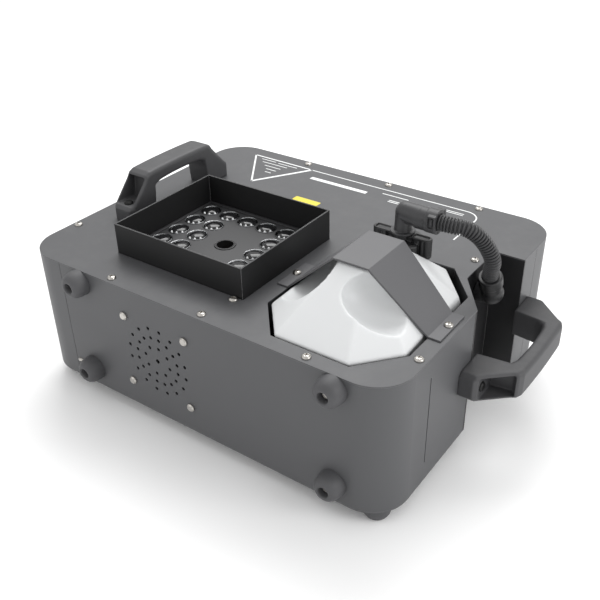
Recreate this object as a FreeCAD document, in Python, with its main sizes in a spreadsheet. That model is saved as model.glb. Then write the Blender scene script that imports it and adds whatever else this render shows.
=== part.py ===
"""A fog machine: a low rounded sheet-metal case that blows its fog upwards through the middle of an
LED panel, with a strapped-in fluid tank, two carrying handles and feet on two of its faces.

Everything is drawn from the case's front left bottom corner (x to the right, y to the back, z up)
and placed so that the origin is under the middle of the whole machine, on the floor.  Millimetres.
"""
import FreeCAD, Part
import math
import os
import re
import Sketcher
from FreeCAD import Placement, Rotation, Vector

SIZES = [
    ("case_length", 400, "case, left to right"),
    ("case_depth", 317, "case, front to back"),
    ("case_height", 128, "case, bottom plate to top plate"),
    ("corner_radius", 34.5, "upright corners of the case"),
    ("wall_gauge", 1.2, "steel sheet"),
    ("lip_width", 10, "inward lip along the top of each wall"),
    ("seam_gap", 0.6, "gap where two walls meet"),
    ("seam_inset", 48.8, "seam of the left wall, from the left end"),
    ("strip_width", 28, "right wall, behind the notch"),
    ("fit_gap", 0.3, "clearance between pieces that fit together"),
    ("notch_front", 138, "start of the notch in the right end"),
    ("notch_shoulder", 42, "length of the notch's slanted side, along y"),
    ("notch_back", 237.5, "square side of the notch"),
    ("notch_depth", 29.5, "depth of the notch"),
    ("slot_place", 60, "narrow slot in the right end, from the front"),
    ("slot_margin", 20, "slot, from the top and the bottom"),
    ("foot_height", 15, "rubber feet"),
    ("foot_radius", 12.7, "rubber foot at its root"),
    ("foot_tip", 10.6, "rubber foot at its tip"),
    ("foot_hole", 4.6, "recess in the foot's tip"),
    ("foot_inset", 20, "foot centre, from the edges"),
    ("front_foot_left", 75, "left pair of front feet, from the left end"),
    ("front_foot_right", 50, "right pair of front feet, from the right end"),
    ("front_foot_top", 12.5, "upper front feet, from the top"),
    ("hood_x", 156, "centre of the LED hood"),
    ("hood_y", 109, "centre of the LED hood"),
    ("hood_length", 148.5, "LED hood, outside"),
    ("hood_width", 131.5, "LED hood, outside"),
    ("hood_rise", 30, "LED hood above the top plate"),
    ("hood_drop", 11.6, "LED hood below the top plate's face"),
    ("hood_flange", 8, "flange of the hood under the top plate"),
    ("panel_rise", 0.6, "LED panel above the top plate"),
    ("panel_gauge", 1.6, "LED panel"),
    ("lens_pitch_x", 23.4, "between lenses, left to right"),
    ("lens_pitch_y", 24.2, "between lenses, front to back"),
    ("lens_radius", 10.2, "lens"),
    ("lens_rise", 2.2, "lens dome above the LED panel"),
    ("board_gauge", 1.6, "circuit boards"),
    ("sink_plate", 4, "heat sink's plate"),
    ("fin_height", 14, "heat sink's fins"),
    ("nozzle_radius", 7, "brass nozzle"),
    ("nozzle_bore", 2.5, "fog outlet"),
    ("shroud_radius", 10, "nozzle shroud, outside"),
    ("heater_length", 160, "heater block"),
    ("heater_width", 50, "heater block"),
    ("heater_height", 36, "heater block"),
    ("heater_lift", 34, "heater block above the case's underside"),
    ("cover_gap", 6, "heater cover's side, from the block"),
    ("cover_rise", 10, "heater cover's top, above the block"),
    ("well_inset", 82.5, "middle of the tank's well, from the right end"),
    ("well_width", 135, "tank's well, left to right"),
    ("well_front", 14.7, "tank's well, from the front"),
    ("well_length", 174.3, "tank's well, front to back"),
    ("well_cut_x", 31, "cut-off corners of the well"),
    ("well_cut_y", 37, "cut-off corners of the well"),
    ("tray_floor", 24, "tank's tray above the case's underside"),
    ("tray_margin", 1.5, "tray outside the well's edge"),
    ("tank_gap", 4.5, "gap around the tank in its well"),
    ("tank_wall", 2, "tank wall"),
    ("tank_crown", 43, "tank's crown above the top plate"),
    ("crown_half", 17, "half of the crown's width"),
    ("crown_front", 66, "front of the crown, from the case's front"),
    ("crown_back", 120, "back of the crown, from the case's front"),
    ("shoulder_rise", 13.5, "tank's shoulder under the cap, above the top plate"),
    ("neck_radius", 16, "tank's neck"),
    ("cap_inset", 87, "tank cap, from the right end"),
    ("cap_y", 165, "tank cap"),
    ("cap_radius", 28.5, "tank cap's grip, from its middle to its end"),
    ("cap_height", 24.5, "tank cap"),
    ("cap_grip", 10, "tank cap's grip, front to back"),
    ("cap_skirt", 17, "height of the cap's round skirt"),
    ("cap_hollow", 14, "inside of the cap's skirt, from its lower edge"),
    ("strap_rise", 49, "strap's flat above the top plate"),
    ("strap_flat", 32, "length of the strap's flat"),
    ("strap_run", 51, "each slope of the strap, along x"),
    ("strap_flange", 11.5, "each flange of the strap"),
    ("strap_y", 101, "middle of the strap"),
    ("strap_wide", 28, "half width of the strap's flat"),
    ("strap_narrow", 21, "half width of the strap's flanges"),
    ("strap_gauge", 1.5, "strap"),
    ("hose_radius", 7.2, "corrugated hose, outside"),
    ("hose_bore", 5.2, "corrugated hose, inside"),
    ("elbow_inset", 15, "elbow in the notch, from the right end"),
    ("elbow_y", 205, "elbow in the notch"),
    ("elbow_z", 104, "elbow in the notch"),
    ("handle_half", 74.3, "half of a handle's length"),
    ("handle_reach", 46, "handle's reach from the wall"),
    ("handle_width", 26.8, "handle"),
    ("handle_block", 13.3, "square block at each foot of a handle"),
    ("handle_opening", 40.5, "half of the finger gap at the wall"),
    ("handle_depth", 32, "finger gap's reach from the wall"),
    ("handle_end", 42, "half of the grip's length at its outside"),
    ("top_handle_x", 40, "top handle"),
    ("top_handle_y", 165, "top handle"),
    ("end_handle_y", 188, "end handle"),
    ("end_handle_z", 66, "end handle"),
    ("fan_x", 163.5, "fan"),
    ("fan_z", 62.5, "fan"),
    ("fan_side", 80, "fan frame"),
    ("fan_thick", 25, "fan frame"),
    ("fan_pitch", 71.5, "fan's screws"),
    ("fan_hub", 16, "fan's hub radius"),
    ("screw_head", 4, "screw head radius"),
    ("screw_shank", 1.9, "screw shank radius"),
    ("screw_inset", 7, "edge screws, from the edge"),
    ("button_radius", 4, "menu button"),
    ("button_pitch", 16, "between menu buttons"),
    ("button_rise", 1.8, "menu button's face above the back wall"),
    ("button_stroke", 1.2, "menu button's travel"),
    ("panel_x", 290, "middle of the menu buttons and display"),
    ("button_z", 58, "menu buttons"),
    ("display_z", 84, "display"),
    ("socket_z", 74, "sockets and switch"),
    ("fuse_reach", 9, "fuse cap beyond the back wall"),
]

doc = FreeCAD.newDocument("FogMachine")
sheet = doc.addObject("Spreadsheet::Sheet", "Sizes")
for row, (alias, value, meaning) in enumerate(SIZES, 1):
    sheet.set(f"A{row}", meaning)
    sheet.set(f"B{row}", str(value))
    sheet.setAlias(f"B{row}", alias)
doc.recompute()

WELL_X = "(case_length - well_inset)"
CAP_X = "(case_length - cap_inset)"
ELBOW_X = "(case_length - elbow_inset)"

# The whole machine reaches from the case's left end to the end handle, and from the front feet's
# tips to the fuse cap; the origin is under the middle of that.
CORNER = (
    "(-(case_length + handle_reach) / 2)",
    "((foot_height - case_depth - fuse_reach) / 2)",
    "foot_height",
)
PLATE_UNDER = "(case_height - wall_gauge)"
TURNED = {
    "+Z": Rotation(),
    "-Z": Rotation(Vector(1, 0, 0), 180),
    "+X": Rotation(Vector(0, 1, 0), 90),
    "-X": Rotation(Vector(0, 1, 0), -90),
    "+Y": Rotation(Vector(1, 0, 0), -90),
    "-Y": Rotation(Vector(1, 0, 0), 90),
}
FAR = 60
subparts = []


def formula(text):
    """The same arithmetic, with each size's name pointing at the sheet."""
    return re.sub(r"[a-z]+(?:_[a-z]+)+", lambda word: "Sizes." + word.group(0), str(text))


def number(text):
    """The value of some arithmetic on the sheet's sizes."""
    return float(sheet.evalExpression(formula(text)))


def bind(item, name, text):
    """Tie one property of an object to the sheet."""
    item.setExpression(name, formula(text))


def put(item, x, y, z, axis="+Z"):
    """Place an object, measured from the case's corner, with its own z along axis."""
    item.Placement = Placement(Vector(), TURNED[axis])
    for letter, corner, text in zip("xyz", CORNER, (x, y, z)):
        bind(item, "Placement.Base." + letter, f"{corner} + {text}")
    return item


def spot(x, y, z):
    """A point, measured from the case's corner, in the machine's frame."""
    return Vector(*[number(f"{corner} + {text}") for corner, text in zip(CORNER, (x, y, z))])


def named(item, label):
    """Keep an object as one sub-part of the machine."""
    item.Label = label
    subparts.append(item)
    return item


def box(name, x, y, z, length, width, height):
    """A box with its low corner at x, y, z."""
    block = doc.addObject("Part::Box", name)
    for side, text in zip(("Length", "Width", "Height"), (length, width, height)):
        bind(block, side, text)
    return put(block, x, y, z)


def rod(name, radius, length, x, y, z, axis="+Z"):
    """A cylinder that starts at x, y, z and runs along axis."""
    cylinder = doc.addObject("Part::Cylinder", name)
    bind(cylinder, "Radius", radius)
    bind(cylinder, "Height", length)
    return put(cylinder, x, y, z, axis)


def fuse(name, *items):
    """Several objects joined into one."""
    joined = doc.addObject("Part::MultiFuse", name)
    joined.Shapes = list(items)
    joined.Refine = True
    return joined


def cut(name, base, *tools):
    """An object with others cut out of it, one after another."""
    for index, tool in enumerate(tools):
        result = doc.addObject("Part::Cut", f"{name}_{index}")
        result.Base = base
        result.Tool = tool
        base = result
    return base


def common(name, first, second):
    """What two objects share."""
    shared = doc.addObject("Part::Common", name)
    shared.Base = first
    shared.Tool = second
    return shared


def origin_item(body, role):
    """One of a body's own origin planes."""
    return [item for item in body.Origin.OriginFeatures if item.Role == role][0]


def outline(body, plane, corners):
    """A closed outline of straight lines on one of the body's planes, each corner tied to the sheet."""
    sketch = body.newObject("Sketcher::SketchObject", body.Name + "Outline")
    sketch.AttachmentSupport = (origin_item(body, plane), [""])
    sketch.MapMode = "FlatFace"
    points = [Vector(number(u), number(v), 0) for u, v in corners]
    count = len(points)
    for index, point in enumerate(points):
        sketch.addGeometry(Part.LineSegment(point, points[(index + 1) % count]), False)
    for index in range(count):
        sketch.addConstraint(Sketcher.Constraint("Coincident", index, 2, (index + 1) % count, 1))
    for index, (u, v) in enumerate(corners):
        sides = (("DistanceX", -2, u, points[index].x), ("DistanceY", -1, v, points[index].y))
        for kind, axis, text, value in sides:
            if str(text) == "0":
                sketch.addConstraint(Sketcher.Constraint("PointOnObject", index, 1, axis))
            else:
                place = sketch.addConstraint(Sketcher.Constraint(kind, -1, 1, index, 1, value))
                bind(sketch, f"Constraints[{place}]", text)
    return sketch


def edges_at(shape, plane, corner):
    """The names of the straight edges that run square to the plane through one corner."""
    drop = {"XY_Plane": "xy", "XZ_Plane": "xz", "YZ_Plane": "yz"}[plane]
    target = [number(text) for text in corner]
    found = []
    for index, edge in enumerate(shape.Edges, 1):
        ends = [[getattr(vertex.Point, letter) for letter in drop] for vertex in edge.Vertexes]
        near = all(math.dist(end, target) < 0.001 for end in ends)
        if near and len(ends) == 2:
            found.append(f"Edge{index}")
    return found


def prism(name, corners, height, x=0, y=0, z=0, plane="XY_Plane", rounds=(), backwards=False):
    """A padded outline.  rounds lists pairs of a corner's index and its radius."""
    body = doc.addObject("PartDesign::Body", name)
    sketch = outline(body, plane, corners)
    pad = body.newObject("PartDesign::Pad", name + "Pad")
    pad.Profile = sketch
    bind(pad, "Length", height)
    pad.Reversed = backwards
    doc.recompute()
    last = pad
    for radius in dict.fromkeys(radius for _, radius in rounds):
        fillet = body.newObject("PartDesign::Fillet", name + "Round")
        names = []
        for index, text in rounds:
            if text == radius:
                names += edges_at(last.Shape, plane, corners[index])
        fillet.Base = (last, names)
        bind(fillet, "Radius", radius)
        doc.recompute()
        last = fillet
    return put(body, x, y, z)


def turned_body(name, corners, x=0, y=0, z=0, axis="+Z", placed=True):
    """A solid of revolution: corners are pairs of radius and height along its axis."""
    body = doc.addObject("PartDesign::Body", name)
    sketch = outline(body, "XZ_Plane", corners)
    revolution = body.newObject("PartDesign::Revolution", name + "Turned")
    revolution.Profile = sketch
    revolution.ReferenceAxis = (sketch, ["V_Axis"])
    revolution.Angle = 360
    return put(body, x, y, z, axis) if placed else body


def copies(name, source, places, axis="+Z"):
    """One object that holds a copy of source's shape at each place."""
    doc.recompute()
    shapes = []
    for place in places:
        shape = source.Shape.copy()
        shape.Placement = Placement(spot(*place), TURNED[axis])
        shapes.append(shape)
    group = doc.addObject("Part::Feature", name)
    group.Shape = Part.makeCompound(shapes)
    return group


def drills(name, radius, places, axis="+Z", length=FAR):
    """Rods that cut round holes, centred on the places and half their length each way."""
    tool = doc.addObject("Part::Cylinder", name + "Drill")
    bind(tool, "Radius", radius)
    tool.Height = length
    back = TURNED[axis].multVec(Vector(0, 0, -length / 2))
    places = [[f"{text} + {shift}" for text, shift in zip(place, back)] for place in places]
    return copies(name, tool, places, axis)


def rectangle(x_low, x_high, y_low, y_high):
    """The corners of a rectangle."""
    return [(x_low, y_low), (x_high, y_low), (x_high, y_high), (x_low, y_high)]


# ---------------------------------------------------------------- the case

def slab(name, inset, bottom, height):
    """A plate of the case's rounded outline, drawn in by inset."""
    corners = rectangle(inset, f"case_length - {inset}", inset, f"case_depth - {inset}")
    rounds = [(index, f"corner_radius - {inset}") for index in range(4)]
    return prism(name, corners, height, z=bottom, rounds=rounds)


SLANT = "(sqrt(notch_depth^2 + notch_shoulder^2) / notch_depth)"


def notch_corners(offset, beyond):
    """The notch's outline, drawn out by offset and carried past the end wall by beyond."""
    inner_x = f"case_length - notch_depth - {offset}"
    outer_x = f"case_length + {beyond}"
    outer_y = f"notch_front - {beyond} * notch_shoulder / notch_depth - {offset} * {SLANT}"
    inner_y = f"notch_front + (notch_depth + {offset}) * notch_shoulder / notch_depth - {offset} * {SLANT}"
    back_y = f"notch_back + {offset}"
    return [(outer_x, outer_y), (inner_x, inner_y), (inner_x, back_y), (outer_x, back_y)]


def well_corners(inset):
    """The tank well's eight corners, drawn in by inset."""
    left = f"({WELL_X} - well_width / 2 + {inset})"
    right = f"({WELL_X} + well_width / 2 - {inset})"
    front = f"(well_front + {inset})"
    back = f"(well_front + well_length - {inset})"
    return [
        (f"{left} + well_cut_x", front), (f"{right} - well_cut_x", front),
        (right, f"{front} + well_cut_y"), (right, f"{back} - well_cut_y"),
        (f"{right} - well_cut_x", back), (f"{left} + well_cut_x", back),
        (left, f"{back} - well_cut_y"), (left, f"{front} + well_cut_y"),
    ]


def hood_corners(inset):
    """The LED hood's outline, drawn in by inset."""
    return rectangle(
        f"hood_x - hood_length / 2 + {inset}", f"hood_x + hood_length / 2 - {inset}",
        f"hood_y - hood_width / 2 + {inset}", f"hood_y + hood_width / 2 - {inset}",
    )


ROW_START = 111
ROW_STEP = 105
ROW_X = [ROW_START + ROW_STEP * index for index in range(3)]
NOTCH_SCREW = ("case_length - notch_depth - 8", "notch_back - 25")
PLATE_SCREWS = (
    [(x, "screw_inset") for x in ROW_X]
    + [(x, "case_depth - screw_inset") for x in ROW_X]
    + [("screw_inset", 61.5), ("screw_inset", "case_depth - 61.5"), ("case_length - screw_inset", 51.6)]
    + [NOTCH_SCREW]
)
HOOD_SCREWS = [
    ("hood_x + hood_length / 2 - 7", "hood_y - hood_width / 2 - hood_flange / 2"),
    ("hood_x - hood_length / 2 + 7", "hood_y + hood_width / 2 + hood_flange / 2"),
]
STRAP_SCREWS = [
    (f"{WELL_X} - strap_flat / 2 - strap_run - strap_flange * 0.6", "strap_y + 2"),
    (f"{WELL_X} + strap_flat / 2 + strap_run + strap_flange * 0.6", "strap_y + 2"),
]
HANDLE_BOLT = "(handle_half - 10)"
TOP_HANDLE_BOLTS = [("top_handle_x", f"top_handle_y + {way} * {HANDLE_BOLT}") for way in (-1, 1)]
END_HANDLE_BOLTS = [(f"end_handle_y + {way} * {HANDLE_BOLT}", "end_handle_z") for way in (-1, 1)]
SEAM_SCREW = ("seam_inset + 5", "foot_inset - 2.5")
BOLT_HOLE = "screw_shank + 0.2"
BIG_BOLT = 2.5
BOTTOM_FEET = [
    (x, y) for x in ("foot_inset", "case_length - foot_inset")
    for y in ("foot_inset", "case_depth - foot_inset")
]
FRONT_FEET = [
    (x, z) for x in ("front_foot_left", "case_length - front_foot_right")
    for z in ("foot_inset", "case_height - front_foot_top")
]
FAN_SCREWS = [
    (f"fan_x + {side} * fan_pitch / 2", f"fan_z + {rise} * fan_pitch / 2")
    for side in (-1, 1) for rise in (-1, 1)
]
BUTTONS = {"menu_button": -1.5, "up_button": -0.5, "down_button": 0.5, "enter_button": 1.5}
BUTTON_X = {label: f"(panel_x + {step} * button_pitch)" for label, step in BUTTONS.items()}
DMX_X = {"dmx_input": 206, "dmx_output": 168}
INLET_X = 88
SWITCH_X = 126
FUSE_X = 126
FUSE_RISE = 24


def make_case():
    """The walls, the plates and the notch's liner."""
    hull = cut("WallRing", slab("WallOuter", 0, "wall_gauge", "case_height - 2 * wall_gauge"),
               slab("WallInner", "wall_gauge", 0, "case_height"))
    lip = cut("LipRing", slab("LipOuter", "wall_gauge", "case_height - 2 * wall_gauge", "wall_gauge"),
              slab("LipInner", "(wall_gauge + lip_width)", 0, "case_height"))
    clear = prism("NotchClear", notch_corners("(wall_gauge + fit_gap)", 10), "case_height + 10", z=-5)
    bolts = drills("PlateDrills", BOLT_HOLE, [(x, y, "case_height") for x, y in PLATE_SCREWS + STRAP_SCREWS])
    shell = cut("Shell", fuse("ShellRing", hull, lip), clear, bolts)
    seam_low = "seam_inset - seam_gap / 2"
    seam_high = "seam_inset + seam_gap / 2"
    strip_end = "notch_back + strip_width"
    left = box("LeftRegion", -10, -10, 0, f"10 + {seam_low}", "case_depth + 20", "case_height")
    front = box("FrontRegion", seam_high, -10, 0, f"case_length - {seam_high} + 10", "case_depth / 2 + 10",
                "case_height")
    strip = box("StripRegion", "case_length - corner_radius", "notch_back", 0, "corner_radius + 10",
                "strip_width - seam_gap / 2", "case_height")
    back = box("BackRegion", seam_high, f"{strip_end} + seam_gap / 2", 0, "case_length", "case_depth",
               "case_height")
    named(common("LeftSheet", shell, left), "left_wall")
    make_front_wall(common("FrontSheet", shell, front))
    bolt_places = [("case_length", y, z) for y, z in END_HANDLE_BOLTS]
    side_bolts = drills("StripDrill", BIG_BOLT + 0.2, bolt_places, "+X")
    named(cut("Strip", common("StripSheet", shell, strip), side_bolts), "right_wall")
    make_back_wall(common("BackSheet", shell, back))
    make_top_plate(bolts)
    make_bottom_plate()
    make_notch_liner(bolts)


def make_front_wall(sheet_piece):
    """The front wall, wrapped round the right corner, with the fan's grille and a narrow slot."""
    slot = box("EndSlot", "case_length - 10", "slot_place", "slot_margin", 20, 1.4,
               "case_height - 2 * slot_margin")
    screws = drills("FanDrills", BOLT_HOLE, [(x, 0, z) for x, z in FAN_SCREWS], "+Y", 20)
    feet = drills("FootDrills", BOLT_HOLE, [(x, 0, z) for x, z in FRONT_FEET], "+Y", 20)
    seam = drills("SeamDrill", BOLT_HOLE, [(SEAM_SCREW[0], 0, SEAM_SCREW[1])], "+Y", 20)
    bolt = drills("FrontBoltDrill", BIG_BOLT + 0.2, [("case_length", *END_HANDLE_BOLTS[0])], "+X", 20)
    rings = [(0, 1, 0, 2.3), (14.5, 8, 33, 1.8), (24.2, 16, 12, 1.8), (33.6, 16, 12, 1.8)]
    piece = cut("FrontCut", sheet_piece, slot, screws, feet, seam, bolt)
    for ring_radius, count, start, hole in rings:
        places = []
        for index in range(count):
            angle = math.radians(start + 360 * index / count)
            places.append((f"fan_x + {ring_radius * math.cos(angle)}", 0,
                           f"fan_z + {ring_radius * math.sin(angle)}"))
        piece = cut(f"Grille{count}_{int(ring_radius)}", piece,
                    drills(f"GrilleDrills{int(ring_radius)}", hole, places, "+Y", 20))
    named(piece, "front_wall")


def make_back_wall(sheet_piece):
    """The back wall, with the holes for the controls and the sockets."""
    deep = "case_depth - 5"
    buttons = drills("ButtonDrills", "button_radius + fit_gap",
                     [(x, "case_depth", "button_z") for x in BUTTON_X.values()], "+Y", 20)
    sockets = drills("SocketDrills", "11.5 + fit_gap",
                     [(x, "case_depth", "socket_z") for x in DMX_X.values()], "+Y", 20)
    fuse_place = (FUSE_X, "case_depth", f"socket_z + {FUSE_RISE}")
    fuse_hole = drills("FuseDrill", "6 + fit_gap", [fuse_place], "+Y", 20)
    display = box("DisplayCut", "panel_x - 32 - fit_gap", deep, "display_z - 11 - fit_gap",
                  "64 + 2 * fit_gap", 10, "22 + 2 * fit_gap")
    inlet = box("InletCut", f"{INLET_X} - 13.7 - fit_gap", deep, "socket_z - 9.7 - fit_gap",
                "27.4 + 2 * fit_gap", 10, "19.4 + 2 * fit_gap")
    switch = box("SwitchCut", f"{SWITCH_X} - 6.5 - fit_gap", deep, "socket_z - 9.5 - fit_gap",
                 "13 + 2 * fit_gap", 10, "19 + 2 * fit_gap")
    named(cut("BackCut", sheet_piece, buttons, sockets, fuse_hole, display, inlet, switch), "back_wall")


def make_top_plate(bolts):
    """The top plate, open for the tank and the LED hood."""
    plate = slab("TopSlab", 0, PLATE_UNDER, "wall_gauge")
    notch = prism("TopNotch", notch_corners(0, 10), FAR, z="case_height - 30")
    well = prism("TopWell", well_corners(0), FAR, z="case_height - 30")
    hood = prism("TopHood", hood_corners("(-fit_gap)"), FAR, z="case_height - 30")
    small = drills("HoodDrills", BOLT_HOLE, [(x, y, "case_height") for x, y in HOOD_SCREWS])
    big = drills("HandleDrills", BIG_BOLT + 0.2, [(x, y, "case_height") for x, y in TOP_HANDLE_BOLTS])
    named(cut("TopPlate", plate, notch, well, hood, bolts, small, big), "top_plate")


def make_bottom_plate():
    """The bottom plate, with the notch and the screw holes of the feet."""
    notch = prism("BottomNotch", notch_corners(0, 10), FAR, z=-30)
    feet = drills("BottomDrills", BOLT_HOLE, [(x, y, 0) for x, y in BOTTOM_FEET])
    named(cut("BottomPlate", slab("BottomSlab", 0, 0, "wall_gauge"), notch, feet), "bottom_plate")


def make_notch_liner(bolts):
    """The bent sheet that closes the notch, with a tab for its plate screw and the elbow's hole."""
    inner = notch_corners(0, 0)
    outer = notch_corners("wall_gauge", 0)
    sheet_piece = prism("LinerSheet", inner + outer[::-1], "case_height - 2 * wall_gauge", z="wall_gauge")
    tab = box("LinerTab", "case_length - notch_depth - wall_gauge - 14", f"{NOTCH_SCREW[1]} - 8",
              "case_height - 2 * wall_gauge", 14.5, 16, "wall_gauge")
    hole_place = ("case_length - notch_depth", "elbow_y", "elbow_z")
    hole = drills("LinerDrill", "8 + fit_gap", [hole_place], "+X", 20)
    named(cut("Liner", fuse("LinerBent", sheet_piece, tab), hole, bolts), "notch_liner")


# ---------------------------------------------------------------- screws and feet

def screw_shape(name, head, head_height, shank, length):
    """A pan head screw: the underside of its head at z = 0, its shank pointing down."""
    corners = [
        (0, f"-({length})"), (shank, f"-({length})"), (shank, 0), (head, 0),
        (head, f"{head_height} * 0.55"), (f"{head} * 0.72", head_height), (0, head_height),
    ]
    return turned_body(name, corners, placed=False)


def make_screws():
    """The small screws of the plates and walls, and the bolts of the handles."""
    small = screw_shape("SmallScrew", "screw_head", 2.4, "screw_shank", 6)
    top = [(x, y, "case_height") for x, y in PLATE_SCREWS + HOOD_SCREWS]
    plate = copies("PlateScrewSet", small, top)
    seam = copies("SeamScrewSet", small, [(SEAM_SCREW[0], 0, SEAM_SCREW[1])], "-Y")
    everything = doc.addObject("Part::Feature", "PlateScrews")
    everything.Shape = Part.makeCompound(plate.Shape.Solids + seam.Shape.Solids)
    named(everything, "plate_screws")
    strap = copies("StrapScrewSet", small, [(x, y, "case_height + strap_gauge") for x, y in STRAP_SCREWS])
    named(strap, "strap_screws")
    named(copies("FanScrewSet", small, [(x, 0, z) for x, z in FAN_SCREWS], "-Y"), "fan_screws")
    bolt = screw_shape("HandleBolt", 4.6, 3, BIG_BOLT, "handle_block + 2.5 + 8")
    floor = "handle_block + 2.5"
    up = copies("TopBolts", bolt, [(x, y, f"case_height + {floor}") for x, y in TOP_HANDLE_BOLTS])
    side = copies("EndBolts", bolt, [(f"case_length + {floor}", y, z) for y, z in END_HANDLE_BOLTS], "+X")
    bolts = doc.addObject("Part::Feature", "HandleBolts")
    bolts.Shape = Part.makeCompound(up.Shape.Solids + side.Shape.Solids)
    named(bolts, "handle_screws")


def make_feet():
    """Eight rubber feet, four under the case and four on its front, each with its screw inside."""
    seat = "foot_height - 7"
    corners = [
        ("screw_shank + 0.1", 0), ("foot_radius", 0), ("foot_radius", 2.5), ("foot_tip", "foot_height - 1.5"),
        ("foot_tip - 1.5", "foot_height"), ("foot_hole", "foot_height"), ("foot_hole", seat),
        ("screw_shank + 0.1", seat),
    ]
    foot = turned_body("Foot", corners, placed=False)
    named(copies("BottomFeet", foot, [(x, y, 0) for x, y in BOTTOM_FEET], "-Z"), "bottom_feet")
    named(copies("FrontFeet", foot, [(x, 0, z) for x, z in FRONT_FEET], "-Y"), "front_feet")
    screw = screw_shape("FootScrew", 3.6, 2.4, "screw_shank", f"{seat} + 5")
    under = copies("FootScrewsDown", screw, [(x, y, f"-({seat})") for x, y in BOTTOM_FEET], "-Z")
    front = copies("FootScrewsFront", screw, [(x, f"-({seat})", z) for x, z in FRONT_FEET], "-Y")
    screws = doc.addObject("Part::Feature", "FootScrews")
    screws.Shape = Part.makeCompound(under.Shape.Solids + front.Shape.Solids)
    named(screws, "foot_screws")


# ---------------------------------------------------------------- the handles

def make_handle(label, x, y, z, up, along):
    """A moulded handle: a flat grip on two hollow legs, each leg open towards its end."""
    name = "".join(word.title() for word in label.split("_"))
    half = [("handle_half", 0), ("handle_half", "handle_block"), ("handle_end", "handle_reach")]
    inner = [("handle_opening", 0), ("handle_opening - 4", "handle_depth")]
    left = [(f"-({u})", v) for u, v in half]
    left_inner = [(f"-({u})", v) for u, v in inner]
    corners = half + left[::-1] + left_inner + inner[::-1]
    rounds = [(2, "16"), (3, "16"), (7, "6"), (8, "6")]
    body = prism(name, corners, "handle_width", plane="XZ_Plane", rounds=rounds, backwards=True)
    grip = chamfer_ends(body, name)
    tools = []
    for way in (-1, 1):
        pocket = [(f"{way} * ({u})", v) for u, v in (
            ("handle_half + 8", "handle_block + 2.5"), ("handle_opening + 4", "handle_block + 2.5"),
            ("handle_opening + 0.5", "handle_depth + 4"), ("handle_half + 8", "handle_depth + 4"))]
        tools.append(prism(f"{name}Pocket{way + 1}", pocket, "handle_width - 5.6", plane="XZ_Plane",
                           rounds=[(1, "2"), (2, "3")], backwards=True))
    doc.recompute()
    shape = grip.Shape.copy()
    shape.Placement = Placement(Vector(0, -number("handle_width") / 2, 0), Rotation())
    for tool in tools:
        hollow = tool.Shape.copy()
        hollow.Placement = Placement(Vector(0, -number("handle_width - 5.6") / 2, 0), Rotation())
        shape = shape.cut(hollow)
    for way in (-1, 1):
        middle = Vector(way * number(HANDLE_BOLT), 0, -1)
        shape = shape.cut(Part.makeCylinder(BIG_BOLT + 0.2, number("handle_block + 10"), middle))
    handle = doc.addObject("Part::Feature", name + "Solid")
    handle.Shape = shape
    across = along.cross(up)
    turn = FreeCAD.Matrix(along.x, -across.x, up.x, 0, along.y, -across.y, up.y, 0,
                          along.z, -across.z, up.z, 0, 0, 0, 0, 1)
    handle.Placement = Placement(spot(x, y, z), Rotation(turn))
    named(handle, label)


def chamfer_ends(body, name):
    """Take the corners off the two ends of a handle's feet."""
    last = body.Tip
    names = []
    for index, edge in enumerate(last.Shape.Edges, 1):
        ends = [vertex.Point for vertex in edge.Vertexes]
        upright = len(ends) == 2 and abs(ends[0].z - ends[1].z) > number("handle_block") - 0.01
        if upright and all(abs(abs(end.x) - number("handle_half")) < 0.01 for end in ends):
            names.append(f"Edge{index}")
    chamfer = body.newObject("PartDesign::Chamfer", name + "Ends")
    chamfer.Base = (last, names)
    chamfer.Size = 5
    body.Tip = chamfer
    return body


# ---------------------------------------------------------------- the lights

LENS_COLUMNS = 6
LENS_ROWS = 5


def lens_places(height):
    """The lenses' places: a grid with its middle left free for the nozzle."""
    places = []
    for column in range(LENS_COLUMNS):
        for row_index in range(LENS_ROWS):
            free = column in (2, 3) and row_index in (1, 2, 3)
            if not free:
                across = column - (LENS_COLUMNS - 1) / 2
                back = row_index - (LENS_ROWS - 1) / 2
                lens_x = f"hood_x + {across} * lens_pitch_x"
                places.append((lens_x, f"hood_y + {back} * lens_pitch_y", height))
    return places


PANEL_TOP = "(case_height + panel_rise)"
STACK_FLOOR = "(case_height - hood_drop)"
POST_SPOTS = [
    (f"hood_x + {side} * (hood_length / 2 - 5.5)", f"hood_y + {way} * (hood_width / 2 - 5.5)")
    for side in (-1, 1) for way in (-1, 1)
]


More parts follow.
